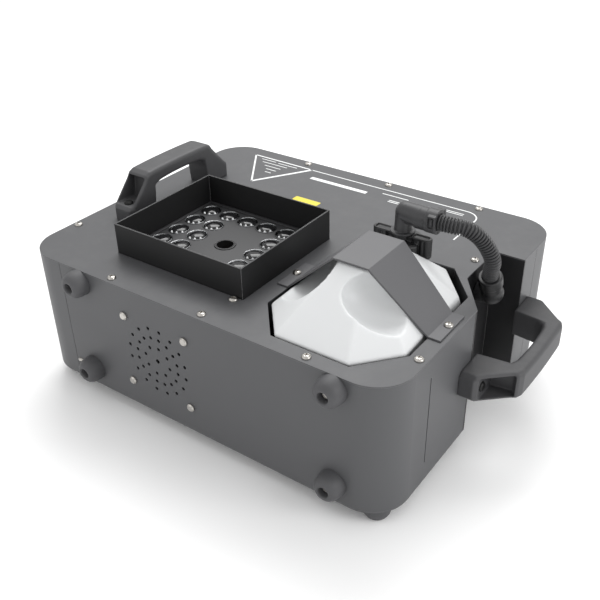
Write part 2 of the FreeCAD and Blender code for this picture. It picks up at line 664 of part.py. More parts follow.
def make_lights():
    """The hood and, inside it, the panel, the lenses, the LED board and its heat sink."""
    inside = "wall_gauge"
    wall = prism("HoodOuter", hood_corners(0), "hood_rise + hood_drop", z=STACK_FLOOR)
    flange = prism("HoodFlange", hood_corners("(-hood_flange)"), "wall_gauge",
                   z="case_height - 2 * wall_gauge")
    hollow = prism("HoodHollow", hood_corners(inside), FAR, z="case_height - 30")
    bolts = drills("FlangeDrills", BOLT_HOLE, [(x, y, "case_height") for x, y in HOOD_SCREWS])
    named(cut("Hood", fuse("HoodSheet", wall, flange), hollow, bolts), "led_hood")

    plate = prism("PanelSlab", hood_corners("(wall_gauge + fit_gap)"), "panel_gauge",
                  z=f"{PANEL_TOP} - panel_gauge")
    holes = drills("LensDrills", "lens_radius + fit_gap", lens_places("case_height"))
    mouth = drills("MouthDrill", "shroud_radius + 0.5", [("hood_x", "hood_y", "case_height")])
    named(cut("Panel", plate, holes, mouth), "led_panel")

    emitter_top = f"({STACK_FLOOR} + board_gauge + 1.2)"
    lens_low = f"({emitter_top} + fit_gap)"
    barrel = number(f"{PANEL_TOP} - {lens_low}")
    corners = [(0, 0), ("lens_radius - 3", 0), ("lens_radius", 3), ("lens_radius", barrel),
               ("lens_radius - 1.6", f"{barrel} + lens_rise * 0.7"),
               ("lens_radius * 0.5", f"{barrel} + lens_rise"), (0, f"{barrel} + lens_rise")]
    lens = turned_body("Lens", corners, placed=False)
    named(copies("Lenses", lens, lens_places(lens_low)), "led_lenses")

    board = prism("BoardSlab", hood_corners("(wall_gauge + 1.5)"), "board_gauge", z=STACK_FLOOR)
    wide = drills("BoardMouth", "shroud_radius + 2", [("hood_x", "hood_y", "case_height")])
    posts_clear = drills("PostClear", 3.4, [(x, y, "case_height") for x, y in POST_SPOTS])
    named(cut("Board", board, wide, posts_clear), "led_board")

    chip = doc.addObject("Part::Box", "Chip")
    for side, text in zip(("Length", "Width", "Height"), (5, 5, 1.2)):
        bind(chip, side, text)
    chip_places = [(f"{x} - 2.5", f"{y} - 2.5", z) for x, y, z in lens_places(f"{STACK_FLOOR} + board_gauge")]
    named(copies("Emitters", chip, chip_places), "led_emitters")

    post = turned_body("Post", [(0, 0), (3, 0), (3, f"{PANEL_TOP} - panel_gauge - {STACK_FLOOR}"),
                                (0, f"{PANEL_TOP} - panel_gauge - {STACK_FLOOR}")], placed=False)
    named(copies("Posts", post, [(x, y, STACK_FLOOR) for x, y in POST_SPOTS]), "led_spacers")
    make_heat_sink(wide)


def make_heat_sink(mouth):
    """A finned plate under the LED board: one comb-shaped outline, padded front to back."""
    fins = 16
    left = "hood_x - hood_length / 2"
    pitch = f"((hood_length - 2) / {fins - 1})"
    top = "(sink_plate + fin_height)"
    comb = [(f"{left} + hood_length", top), (left, top)]
    for index in range(fins):
        start = f"{left} + {index} * {pitch}"
        comb += [(start, 0), (f"{start} + 2", 0)]
        if index < fins - 1:
            comb += [(f"{start} + 2", "fin_height"), (f"{left} + {index + 1} * {pitch}", "fin_height")]
    sink = prism("SinkComb", comb, "hood_width", y="hood_y - hood_width / 2",
                 z=f"{STACK_FLOOR} - {top}", plane="XZ_Plane", backwards=True)
    named(cut("Sink", sink, mouth), "led_heat_sink")


# ---------------------------------------------------------------- the heater and the pump

HEATER_TOP = "(heater_lift + heater_height)"
COVER_TOP = f"({HEATER_TOP} + cover_rise)"
STUB_X = "(hood_x + heater_length / 2 - 12)"
STUB_REACH = "(cover_gap + 12)"


def make_heater():
    """The heater block with its stands, thermostats, cover, nozzle and the nozzle's shroud."""
    left = "hood_x - heater_length / 2"
    front = "hood_y - heater_width / 2"
    block = box("HeaterBlock", left, front, "heater_lift", "heater_length", "heater_width", "heater_height")
    stub = rod("InletStub", 3, f"{STUB_REACH} + 2", STUB_X, "hood_y + heater_width / 2 - 2",
               "heater_lift + heater_height / 2", "+Y")
    seat = drills("NozzleSeat", 5, [("hood_x", "hood_y", HEATER_TOP)], length=20)
    named(cut("Heater", fuse("HeaterCasting", block, stub), seat), "heater_block")

    stands = []
    for index, place in enumerate(("hood_x - heater_length / 2 + 15", "hood_x + heater_length / 2 - 35")):
        outer = box(f"Stand{index}", place, f"{front} + 5", "wall_gauge", 20, "heater_width - 10",
                    "heater_lift - wall_gauge")
        inner = box(f"StandHollow{index}", f"{place} - 1", f"{front} + 8", "wall_gauge + 3", 22,
                    "heater_width - 16", "heater_lift - wall_gauge - 6")
        stands.append(cut(f"StandCut{index}", outer, inner))
    doc.recompute()
    stand_pair = doc.addObject("Part::Compound", "Stands")
    stand_pair.Links = stands
    named(stand_pair, "heater_stands")

    disc = turned_body("Thermostat", [(0, 0), (8, 0), (8, 4), (6, 6), (0, 6)], placed=False)
    named(copies("Thermostats", disc, [(f"{left} + 20", "hood_y", HEATER_TOP),
                                       (f"{left} + 44", "hood_y", HEATER_TOP)]), "thermostats")

    side = "(heater_width / 2 + cover_gap)"
    foot = f"({side} + wall_gauge + 10)"
    profile = [
        (f"hood_y - {foot}", "wall_gauge"), (f"hood_y - {foot}", "2 * wall_gauge"),
        (f"hood_y - {side} - wall_gauge", "2 * wall_gauge"),
        (f"hood_y - {side} - wall_gauge", f"{COVER_TOP} + wall_gauge"),
        (f"hood_y + {side} + wall_gauge", f"{COVER_TOP} + wall_gauge"),
        (f"hood_y + {side} + wall_gauge", "2 * wall_gauge"),
        (f"hood_y + {foot}", "2 * wall_gauge"), (f"hood_y + {foot}", "wall_gauge"),
        (f"hood_y + {side}", "wall_gauge"), (f"hood_y + {side}", COVER_TOP),
        (f"hood_y - {side}", COVER_TOP), (f"hood_y - {side}", "wall_gauge"),
    ]
    cover = prism("CoverBent", profile, "heater_length + 6", x="hood_x - heater_length / 2 - 3",
                  plane="YZ_Plane")
    mouth = drills("CoverMouth", "nozzle_radius + 1", [("hood_x", "hood_y", COVER_TOP)], length=20)
    stub_hole = drills("StubHole", 4, [(STUB_X, f"hood_y + {side}", "heater_lift + heater_height / 2")],
                       "+Y", 8)
    named(cut("Cover", cover, mouth, stub_hole), "heater_cover")

    rise = number(f"case_height - 12 - {HEATER_TOP}")
    nozzle = [("nozzle_bore", -8), (4.9, -8), (4.9, 0), ("nozzle_radius", 0),
              ("nozzle_radius", f"{rise} - 6"), ("nozzle_bore + 1.5", rise), ("nozzle_bore", rise)]
    named(turned_body("NozzleTurned", nozzle, "hood_x", "hood_y", HEATER_TOP), "nozzle")
    base = f"({COVER_TOP} + wall_gauge)"
    height = f"{PANEL_TOP} + 0.6 - {base}"
    tube = [("nozzle_radius + 1.3", 0), ("shroud_radius + 4", 0), ("shroud_radius + 4", 1.2),
            ("shroud_radius", 1.2), ("shroud_radius", height), ("nozzle_radius + 1.3", height)]
    named(turned_body("ShroudTurned", tube, "hood_x", "hood_y", base), "nozzle_shroud")


PUMP = ("(case_length - 115)", "(case_depth - 67)", 31)
PUMP_HALF = 48
DIP_RADIUS = 3.2


def make_pump():
    """The vibrating piston pump on its bracket."""
    x, y, z = PUMP
    coil = box("PumpCoil", f"{x} - 22", f"{y} - 17", z - 17, 44, 34, 34)
    body = rod("PumpBody", 9, 2 * PUMP_HALF - 20, f"{x} - {PUMP_HALF - 10}", y, z, "+X")
    ends = rod("PumpNipples", 2.9, 2 * PUMP_HALF, f"{x} - {PUMP_HALF}", y, z, "+X")
    named(fuse("PumpJoined", coil, body, ends), "pump")
    wing = 30
    outside = 18.5
    inside = 17
    profile = [(-wing, "wall_gauge"), (-wing, 3), (-outside, 3), (-outside, z + 6), (-inside, z + 6),
               (-inside, z - inside), (inside, z - inside), (inside, z + 6), (outside, z + 6), (outside, 3),
               (wing, 3), (wing, "wall_gauge"), (inside, "wall_gauge"), (inside, z - outside),
               (-inside, z - outside), (-inside, "wall_gauge")]
    named(prism("PumpBracket", profile, 36, x=f"{x} - 18", y=y, plane="YZ_Plane"), "pump_bracket")


def rounded_path(points, share=0.45):
    """Straight runs through the points, each turn an arc as large as its two runs allow."""
    edges = []
    start = points[0]
    radii = []
    for before, corner, after in zip(points, points[1:], points[2:]):
        back = (before - corner).normalize()
        ahead = (after - corner).normalize()
        reach = share * min((before - corner).Length, (after - corner).Length)
        half_turn = (math.pi - back.getAngle(ahead)) / 2
        radius = reach / math.tan(half_turn)
        bisector = (back + ahead).normalize()
        first = corner + back * reach
        last = corner + ahead * reach
        middle = corner + bisector * (radius / math.cos(half_turn) - radius)
        edges.append(Part.LineSegment(start, first).toShape())
        edges.append(Part.Arc(first, middle, last).toShape())
        radii.append(round(radius, 1))
        start = last
    edges.append(Part.LineSegment(start, points[-1]).toShape())
    return Part.Wire(edges), radii


def make_tube(label, points, outer, inner):
    """A round tube along a path of runs and arcs."""
    wire, radii = rounded_path(points)
    direction = (points[1] - points[0]).normalize()
    rings = []
    for radius in (outer, inner):
        circle = Part.Wire(Part.makeCircle(radius, points[0], direction))
        rings.append(wire.makePipeShell([circle], True, True))
    tube = doc.addObject("Part::Feature", "".join(word.title() for word in label.split("_")))
    tube.Shape = rings[0].cut(rings[1]).Solids[0]
    section = math.pi * (outer ** 2 - inner ** 2)
    print(label, "radii", radii, "length", round(wire.Length, 1), "mm; volume over section x length",
          round(tube.Shape.Volume / (section * wire.Length), 4))
    return named(tube, label)


def make_inner_tubes():
    """The suction tube from the elbow to the pump and the pressure tube from the pump to the heater."""
    x, y, z = PUMP
    elbow_end = ["case_length - notch_depth - wall_gauge - 7", "elbow_y", "elbow_z"]
    suction = [spot(*elbow_end), spot(f"{elbow_end[0]} - 14", "elbow_y + 1", "elbow_z - 1"),
               spot("case_length - 55", "elbow_y + 16", 86), spot("case_length - 50", "elbow_y + 36", 64),
               spot("case_length - 46", f"{y} - 2", 44), spot("case_length - 53", y, z),
               spot(f"{x} + {PUMP_HALF}", y, z)]
    make_tube("suction_tube", suction, 3, 1.6)
    pressure = [spot(f"{x} - {PUMP_HALF}", y, z), spot(f"{x} - 63", y, z), spot(206, 242, 34),
                spot(200, 222, 40), spot(205, 202, 47), spot(218, 184, "heater_lift + heater_height / 2"),
                spot(STUB_X, 170, "heater_lift + heater_height / 2"),
                spot(STUB_X, f"hood_y + heater_width / 2 + {STUB_REACH}", "heater_lift + heater_height / 2")]
    make_tube("pressure_tube", pressure, 3, 1.6)


# ---------------------------------------------------------------- the tank

def tank_form(name, skin):
    """The tank's outside, drawn in by skin: a deep octagon, a faceted crown, a shoulder and a neck."""
    body = doc.addObject("PartDesign::Body", name)
    low = f"(tray_floor + wall_gauge + fit_gap + {skin})"
    section = outline(body, "XY_Plane", well_corners(f"(tank_gap + {skin})"))
    bind(section, "AttachmentOffset.Base.z", low)
    pad = body.newObject("PartDesign::Pad", name + "Deep")
    pad.Profile = section
    bind(pad, "Length", f"case_height + 2 - {low}")
    doc.recompute()
    lower = outline(body, "XY_Plane", well_corners(f"(tank_gap + {skin})"))
    bind(lower, "AttachmentOffset.Base.z", "case_height + 2")
    upper = outline(body, "XY_Plane", crown_corners(skin))
    bind(upper, "AttachmentOffset.Base.z", f"case_height + tank_crown - {skin}")
    loft = body.newObject("PartDesign::AdditiveLoft", name + "Crown")
    loft.Profile = lower
    loft.Sections = [upper]
    loft.Ruled = True
    doc.recompute()
    put(body, 0, 0, 0)
    shoulder = rod(name + "Shoulder", f"neck_radius + 2 - {skin}", f"shoulder_rise - 4 - {skin} + 6",
                   CAP_X, "cap_y", "case_height - 2")
    neck_height = "cap_hollow - fit_gap"
    if skin == 0:
        neck = rod(name + "Neck", "neck_radius", f"{neck_height} + 8", CAP_X, "cap_y",
                   "case_height + shoulder_rise - 8")
    else:
        neck = rod(name + "Neck", "neck_radius - tank_wall", f"{neck_height} + 20", CAP_X, "cap_y",
                   "case_height + shoulder_rise - 12")
    return fuse(name + "Form", body, shoulder, neck)


def crown_corners(skin):
    """The crown's flat top: eight corners, like the well's, so that each side is one facet."""
    left = f"({WELL_X} - crown_half + {skin} / 2)"
    right = f"({WELL_X} + crown_half - {skin} / 2)"
    front = f"(crown_front + {skin} / 2)"
    back = f"(crown_back - {skin} / 2)"
    return [
        (f"{left} + 5", front), (f"{right} - 5", front), (right, f"{front} + 8"), (right, f"{back} - 8"),
        (f"{right} - 5", back), (f"{left} + 5", back), (left, f"{back} - 8"), (left, f"{front} + 8"),
    ]


def make_tank():
    """The tank, its tray in the case, the cap, the dip tube and the strap over it."""
    tray_height = f"{PLATE_UNDER} - tray_floor"
    tray = prism("TrayOuter", well_corners("(-tray_margin)"), tray_height, z="tray_floor")
    hollow = prism("TrayHollow", well_corners("(wall_gauge - tray_margin)"), FAR * 3,
                   z="tray_floor + wall_gauge")
    named(cut("Tray", tray, hollow), "tank_tray")

    body = cut("TankBody", tank_form("TankOuter", 0), tank_form("TankInner", "tank_wall"))
    around = rod("CapClear", "cap_radius + 1.5", "cap_height + 30", CAP_X, "cap_y",
                 "case_height + shoulder_rise")
    neck = rod("NeckKeep", "neck_radius", "cap_height + 40", CAP_X, "cap_y",
               "case_height + shoulder_rise - 5")
    named(cut("Tank", body, cut("CapClearRing", around, neck)), "tank")

    make_cap()
    dip_top = "case_height + shoulder_rise + cap_height + 3"
    dip = turned_body("DipTurned", [
        (2, 8), (DIP_RADIUS, 8), (DIP_RADIUS, f"{dip_top} - tray_floor - 8"),
        (2, f"{dip_top} - tray_floor - 8")],
        CAP_X, "cap_y", "tray_floor + 2")
    strainer = rod("Strainer", 6, 12, CAP_X, "cap_y", "tray_floor + wall_gauge + tank_wall + 3")
    bottom_bore = rod("DipBore", 2, 6, CAP_X, "cap_y", "tray_floor + 14")
    named(cut("Dip", fuse("DipJoined", dip, strainer), bottom_bore), "dip_tube")
    make_strap()


def make_cap():
    """The screw cap: a round skirt for the neck with a long grip across it, and a hole for the elbow."""
    low = "case_height + shoulder_rise + fit_gap"
    skirt = turned_body("CapSkirt", [
        ("neck_radius + 0.4", 0), ("neck_radius + 3.4", 0), ("neck_radius + 3.4", "cap_skirt - 2"),
        ("neck_radius + 1.4", "cap_skirt"), ("8 + fit_gap", "cap_skirt"), ("8 + fit_gap", "cap_hollow"),
        ("neck_radius + 0.4", "cap_hollow")], CAP_X, "cap_y", low)
    end = "cap_radius"
    side = "(cap_grip / 2)"
    quarter = [(end, f"{side} - 3.4"), (f"{end} - 4.9", side)]
    corners = (
        quarter + [(f"-({x})", y) for x, y in quarter[::-1]]
        + [(f"-({x})", f"-({y})") for x, y in quarter] + [(x, f"-({y})") for x, y in quarter[::-1]]
    )
    grip = prism("CapGrip", corners, "cap_height - 3.6", x=CAP_X, y="cap_y", z=f"{low} + 3.6")
    middle = rod("CapNeckRoom", "neck_radius + 0.4", FAR, CAP_X, "cap_y", f"{low} + cap_hollow - {FAR}")
    bore = rod("CapBore", "8 + fit_gap", FAR, CAP_X, "cap_y", low)
    named(cut("Cap", fuse("CapJoined", skirt, grip), middle, bore), "tank_cap")


def strap_profile():
    """The strap's bent section: two flanges, two slopes and a flat, one sheet thick."""
    half = "(strap_flat / 2)"
    run = "(strap_flat / 2 + strap_run)"
    end = f"({run} + strap_flange)"
    top = "strap_rise"
    fold = "(strap_gauge * 0.42)"
    upper = [(f"-{end}", "strap_gauge"), (f"-{run} - {fold} + 0.001", "strap_gauge"),
             (f"-{half} - {fold}", top), (f"{half} + {fold}", top),
             (f"{run} + {fold} - 0.001", "strap_gauge"), (end, "strap_gauge")]
    lower = [(end, 0), (f"{run}", 0), (half, f"{top} - strap_gauge"),
             (f"-{half}", f"{top} - strap_gauge"), (f"-{run}", 0), (f"-{end}", 0)]
    return upper + lower


def make_strap():
    """The strap over the tank: a bent sheet, narrowed towards its flanges."""
    sheet_piece = prism("StrapBent", strap_profile(), "2 * strap_wide", x=WELL_X, y="strap_y - strap_wide",
                        z="case_height", plane="XZ_Plane", backwards=True)
    half = "(strap_flat / 2 + 2)"
    run = "(strap_flat / 2 + strap_run)"
    end = f"({run} + strap_flange)"
    right = [(end, "-strap_narrow"), (end, "strap_narrow"), (run, "strap_narrow"), (half, "strap_wide")]
    left = [(f"-{half}", "strap_wide"), (f"-{run}", "strap_narrow"), (f"-{end}", "strap_narrow"),
            (f"-{end}", "-strap_narrow"), (f"-{run}", "-strap_narrow"), (f"-{half}", "-strap_wide")]
    plan = right + left + [(half, "-strap_wide"), (run, "-strap_narrow")]
    shape = prism("StrapPlan", plan, FAR * 2, x=WELL_X, y="strap_y", z="case_height - 5")
    bolts = drills("StrapDrills", BOLT_HOLE, [(x, y, "case_height") for x, y in STRAP_SCREWS], length=20)
    named(cut("Strap", common("StrapShape", sheet_piece, shape), bolts), "tank_strap")


# ---------------------------------------------------------------- the hose and its elbows

CAP_TOP = "(case_height + shoulder_rise + fit_gap + cap_height)"
ARM_RISE = 19
ARM_RADIUS = 10.9
ARM_REACH = 34.5
SOCKET_DEPTH = 12
BARREL = 24.7


def make_hose():
    """The corrugated hose from the cap's elbow to the elbow in the notch, and both elbows."""
    axis_z = f"({CAP_TOP} + {ARM_RISE - 0.3})"
    stem = rod("StemUp", 8, f"{ARM_RISE - 0.3} + cap_height - cap_hollow + 3", CAP_X, "cap_y",
               f"{CAP_TOP} - cap_height + cap_hollow - 3")
    flange = rod("StemFlange", 11, 2, CAP_X, "cap_y", f"{CAP_TOP} + fit_gap")
    washer = rod("StemNut", 12, 2.4, CAP_X, "cap_y", f"{CAP_TOP} - cap_height + cap_hollow - 2.4 - fit_gap")
    ball = doc.addObject("Part::Sphere", "StemBend")
    ball.Radius = ARM_RADIUS
    put(ball, CAP_X, "cap_y", axis_z)
    arm = rod("StemArm", ARM_RADIUS, ARM_REACH, CAP_X, "cap_y", axis_z, "+X")
    socket_x = f"{CAP_X} + {ARM_REACH - SOCKET_DEPTH}"
    socket = rod("ArmSocket", "hose_radius + 0.05", SOCKET_DEPTH, socket_x, "cap_y", axis_z, "+X")
    passage = rod("ArmPassage", 5, ARM_REACH, CAP_X, "cap_y", axis_z, "+X")
    drop = rod("StemPassage", DIP_RADIUS, FAR, CAP_X, "cap_y", f"{axis_z} - {FAR}")
    solid = fuse("CapElbowBody", stem, flange, washer, ball, arm)
    named(cut("CapElbow", solid, socket, passage, drop), "cap_elbow")

    knee_place = spot(ELBOW_X, "elbow_y", "elbow_z")
    lean = Vector(0, -9, 23).normalize()
    barrel = leaning_rod("WallBarrel", 11, BARREL, knee_place, lean)
    knee = doc.addObject("Part::Sphere", "WallBend")
    knee.Radius = 11
    put(knee, ELBOW_X, "elbow_y", "elbow_z")
    inward = f"{ELBOW_X} - case_length + notch_depth"
    leg = rod("WallLeg", 10.5, inward, ELBOW_X, "elbow_y", "elbow_z", "-X")
    thread = rod("WallThread", 7.8, f"{inward} + wall_gauge + 7", ELBOW_X, "elbow_y", "elbow_z", "-X")
    nut = rod("WallNut", 12, 4, "case_length - notch_depth - wall_gauge", "elbow_y", "elbow_z", "-X")
    finish = knee_place + lean * (BARREL - SOCKET_DEPTH)
    mouth = leaning_rod("WallSocket", "hose_radius + 0.05", SOCKET_DEPTH, finish, lean)
    bore = leaning_rod("WallBore", 5, BARREL, knee_place, lean)
    cross = rod("WallCross", 3.1, f"{inward} + wall_gauge + 8", ELBOW_X, "elbow_y", "elbow_z", "-X")
    bent = fuse("WallElbowBody", barrel, knee, leg, thread, nut)
    named(cut("WallElbow", bent, mouth, bore, cross), "wall_elbow")

    start = spot(socket_x, "cap_y", axis_z)
    rise = number(axis_z)
    route = [start, spot(f"{CAP_X} + 41", "cap_y", axis_z), spot("case_length - 30", "cap_y + 4", rise - 0.8),
             spot("case_length - 19", "cap_y + 12", rise - 15),
             spot("case_length - 12.5", "elbow_y - 19", rise - 36),
             knee_place + lean * (BARREL + 7.5), finish]
    make_tube("hose", route, number("hose_radius"), number("hose_bore"))


def leaning_rod(name, radius, length, start, direction):
    """A cylinder that starts at a point and runs in any direction."""
    cylinder = doc.addObject("Part::Cylinder", name)
    bind(cylinder, "Radius", radius)
    bind(cylinder, "Height", length)
    cylinder.Placement = Placement(start, Rotation(Vector(0, 0, 1), direction))
    return cylinder


# ---------------------------------------------------------------- the fan

def make_fan():
    """A square axial fan behind the grille: frame with struts and motor, and the bladed rotor."""
    half = "fan_side / 2"
    block = box("FanBlock", f"fan_x - {half}", "wall_gauge", f"fan_z - {half}",
                "fan_side", "fan_thick", "fan_side")
    bore = rod("FanBore", f"{half} - 2", "fan_thick - 4", "fan_x", "wall_gauge", "fan_z", "+Y")
    back_bore = rod("FanBackBore", f"{half} - 2", 10, "fan_x", "wall_gauge + fan_thick - 5", "fan_z", "+Y")
    shell = cut("FanShell", block, bore, back_bore)
    motor = rod("FanMotor", "fan_hub - 1", 4, "fan_x", "wall_gauge + fan_thick - 4", "fan_z", "+Y")
    shaft = rod("FanShaft", 1.5, "fan_thick - 8", "fan_x", "wall_gauge + 6", "fan_z", "+Y")
    bars = []
    for index in range(4):
        bar = doc.addObject("Part::Box", f"FanStrut{index}")
        bind(bar, "Length", "fan_side / 2 + 1 - 12")
        bar.Width = 4
        bar.Height = 4
        turn = Rotation(Vector(0, 0, 1), 45 + 90 * index)
        direction = TURNED["+Y"].multVec(turn.multVec(Vector(12, -2, 0)))
        bar.Placement = Placement(spot("fan_x", "wall_gauge + fan_thick - 4", "fan_z") + direction,
                                  TURNED["+Y"].multiply(turn))
        bars.append(bar)
    screw_places = [(x, "wall_gauge + fan_thick / 2", z) for x, z in FAN_SCREWS]
    corners = drills("FanCornerDrills", BOLT_HOLE, screw_places, "+Y")
    named(cut("FanFrame", fuse("FanJoined", shell, motor, shaft, *bars), corners), "fan_frame")

    low = "wall_gauge + 3"
    hub = rod("RotorHub", "fan_hub", "fan_thick - 8", "fan_x", low, "fan_z", "+Y")
    bore = rod("RotorBore", 1.56, FAR, "fan_x", f"{low} - 10", "fan_z", "+Y")
    blades = []
    count = 7
    for index in range(count):
        blade = doc.addObject("Part::Box", f"Blade{index}")
        bind(blade, "Length", "fan_side / 2 - 3 - fan_hub + 2")
        blade.Width = 18
        blade.Height = 1.4
        turn = Rotation(Vector(0, 0, 1), 360 * index / count)
        lean = Rotation(Vector(1, 0, 0), 35)
        root = Vector(number("fan_hub") - 2, 0, number("fan_thick - 8") / 2)
        corner = lean.multVec(Vector(0, -9, -0.7))
        centre = TURNED["+Y"].multVec(turn.multVec(root + corner))
        blade.Placement = Placement(spot("fan_x", low, "fan_z") + centre,
                                    TURNED["+Y"].multiply(turn.multiply(lean)))
        blades.append(blade)
    named(cut("Rotor", fuse("RotorJoined", hub, *blades), bore), "fan_rotor")


# ---------------------------------------------------------------- controls and electrics

def make_controls():
    """The display, the menu buttons and the board behind them."""
    wall = "case_depth"
    window = box("WindowFace", "panel_x - 32", f"{wall} - wall_gauge", "display_z - 11",
                 64, "wall_gauge + 0.4", 22)
    rim = box("WindowRim", "panel_x - 34", f"{wall} - wall_gauge - 1.5", "display_z - 13", 68, 1.5, 26)
    named(fuse("Window", window, rim), "display_window")
    face = f"{wall} + button_rise"
    flange = "(button_rise + wall_gauge)"
    corners = [
        (0, 0), ("button_radius - 0.6", 0), ("button_radius", "-0.6"), ("button_radius", f"-{flange}"),
        ("button_radius + 1.4", f"-{flange}"), ("button_radius + 1.4", f"-{flange} - 1"),
        (1.5, f"-{flange} - 1"),
        (1.5, f"-{flange} - 6"), (0, f"-{flange} - 6"),
    ]
    for label, x in BUTTON_X.items():
        name = "".join(word.title() for word in label.split("_"))
        named(turned_body(name, corners, x, face, "button_z", "+Y"), label)
    board_y = f"{wall} - wall_gauge - 6 - button_stroke - fit_gap - 3 - board_gauge"
    board = box("BoardPlate", "panel_x - 40", board_y, "button_z - 12",
                80, "board_gauge", "display_z - button_z + 26")
    pieces = [board]
    for index, x in enumerate(BUTTON_X.values()):
        pieces.append(box(f"KeySwitch{index}", f"{x} - 3", f"{board_y} + board_gauge", "button_z - 3",
                          6, 3, 6))
    back_space = f"case_depth - wall_gauge - 1.5 - ({board_y} + board_gauge)"
    pieces.append(box("DisplayBlock", "panel_x - 31", f"{board_y} + board_gauge", "display_z - 10",
                      62, back_space, 20))
    for index, (side, z) in enumerate(((-1, "button_z - 8"), (1, "button_z - 8"), (-1, "display_z + 17"),
                                       (1, "display_z + 17"))):
        post = f"case_depth - wall_gauge - ({board_y}) - board_gauge"
        pieces.append(rod(f"BoardPost{index}", 2.5, post, f"panel_x + {side} * 36.5",
                          f"{board_y} + board_gauge", z, "+Y"))
    named(fuse("ControlBoard", *pieces), "control_board")


def make_sockets():
    """The signal sockets, the mains inlet, the fuse and the switch."""
    wall = "case_depth"
    for label, x in DMX_X.items():
        name = "".join(word.title() for word in label.split("_"))
        flange = box(name + "Flange", f"{x} - 13", wall, "socket_z - 15.5", 26, 2.5, 31)
        barrel = rod(name + "Barrel", 11.5, 24, x, f"{wall} - 24", "socket_z", "+Y")
        body = fuse(name + "Body", flange, barrel)
        if label == "dmx_input":
            cup = rod(name + "Cup", 9, 14, x, f"{wall} + 2.5 - 12", "socket_z", "+Y")
            pins = [rod(f"{name}Pin{index}", 1.2, 11,
                        f"{x} + {5 * math.cos(math.radians(angle))}", f"{wall} - 10.5",
                        f"socket_z + {5 * math.sin(math.radians(angle))}", "+Y")
                    for index, angle in enumerate((30, 150, 270))]
            named(fuse(name + "Whole", cut(name + "Cupped", body, cup), *pins), label)
        else:
            ring = [(f"{x} + {5 * math.cos(math.radians(angle))}", wall,
                     f"socket_z + {5 * math.sin(math.radians(angle))}") for angle in (30, 150, 270)]
            slot = box(name + "LatchSlot", f"{x} - 3 - fit_gap", f"{wall} - 8", "socket_z + 6.7",
                       "6 + 2 * fit_gap", 20, 5)
            named(cut(name + "Whole", body, drills(name + "Drills", 1.5, ring, "+Y", 20), slot), label)
            latch = box("Latch", f"{x} - 3", f"{wall} - 3", "socket_z + 7", 6, 7.5, 3.6)
            named(latch, "dmx_latch")

    flange = box("InletFlange", f"{INLET_X} - 24", wall, "socket_z - 11", 48, 2.5, 22)
    deep = box("InletBody", f"{INLET_X} - 13.7", f"{wall} - 26", "socket_z - 9.7", 27.4, 26, 19.4)
    mouth = box("InletMouth", f"{INLET_X} - 12", f"{wall} - 15", "socket_z - 8", 24, 20, 16)
    blades = []
    for index, (side, rise) in enumerate(((-7, -4), (7, -4), (0, 1))):
        blades.append(box(f"InletBlade{index}", f"{INLET_X} + {side} - 1", f"{wall} - 16",
                          f"socket_z + {rise}", 2, 16, 4))
    body = cut("InletOpen", fuse("InletOuter", flange, deep), mouth)
    named(fuse("InletWhole", body, *blades), "power_inlet")

    z = f"socket_z + {FUSE_RISE}"
    holder = [(3.3, -26), (6, -26), (6, 0), (8, 0), (8, 2), (5.3, 2), (5.3, -22), (3.3, -22)]
    named(turned_body("FuseHolder", holder, FUSE_X, wall, z, "+Y"), "fuse_holder")
    cap = [(0, -4), (5, -4), (5, 2.3), (6.5, 2.3), (6.5, "fuse_reach - 1"), (5.5, "fuse_reach"),
           (0, "fuse_reach")]
    body = turned_body("FuseCap", cap, FUSE_X, wall, z, "+Y")
    slot = box("FuseSlot", f"{FUSE_X} - 6", f"{wall} + fuse_reach - 1.5", f"{z} - 0.7", 12, 5, 1.4)
    named(cut("FuseCapSlotted", body, slot), "fuse_cap")

    bezel = box("SwitchBezel", f"{SWITCH_X} - 7.5", wall, "socket_z - 10.5", 15, 2, 21)
    body = box("SwitchBody", f"{SWITCH_X} - 6.5", f"{wall} - 18", "socket_z - 9.5", 13, 18, 19)
    hollow = box("SwitchHollow", f"{SWITCH_X} - 5.5", f"{wall} - 9", "socket_z - 8.5", 11, 20, 17)
    named(cut("SwitchHousing", fuse("SwitchOuter", bezel, body), hollow), "switch_housing")
    rocker = [(-7.4, 2.6), (-7.4, -2), (0, -5.5), (7.4, -2), (7.4, 0.6), (0, 1.6)]
    profile = [(f"{wall} + {depth}", f"socket_z + {rise}") for rise, depth in rocker]
    named(prism("Rocker", profile, 10.4, x=SWITCH_X - 5.2, plane="YZ_Plane"), "power_rocker")


def make_boards():
    """The main board on its stand-offs and the power supply."""
    front = "case_depth - 121"
    plate = box("MainBoard", 122, front, 10, 66, 96, "board_gauge")
    pieces = [plate]
    for index, (x, y) in enumerate(((127, 5), (183, 5), (127, 91), (183, 91))):
        pieces.append(rod(f"StandOff{index}", 3, "10 - wall_gauge", x, f"{front} + {y}", "wall_gauge"))
    blocks = [(130, 14, 28, 22, 18), (164, 16, 18, 16, 12), (132, 49, 16, 26, 20), (156, 54, 22, 10, 16)]
    for index, (x, y, length, width, height) in enumerate(blocks):
        pieces.append(box(f"Component{index}", x, f"{front} + {y}", "10 + board_gauge",
                          length, width, height))
    named(fuse("MainJoined", *pieces), "main_board")
    case = box("SupplyBox", 14, "case_depth - 165", "wall_gauge", 98, 138, 38)
    vents = []
    for index in range(8):
        vents.append(box(f"SupplyVent{index}", 26, f"case_depth - {149 - 12 * index}", 30, 74, 5, 20))
    named(cut("Supply", case, *vents), "power_supply")


# ---------------------------------------------------------------- build, check and write

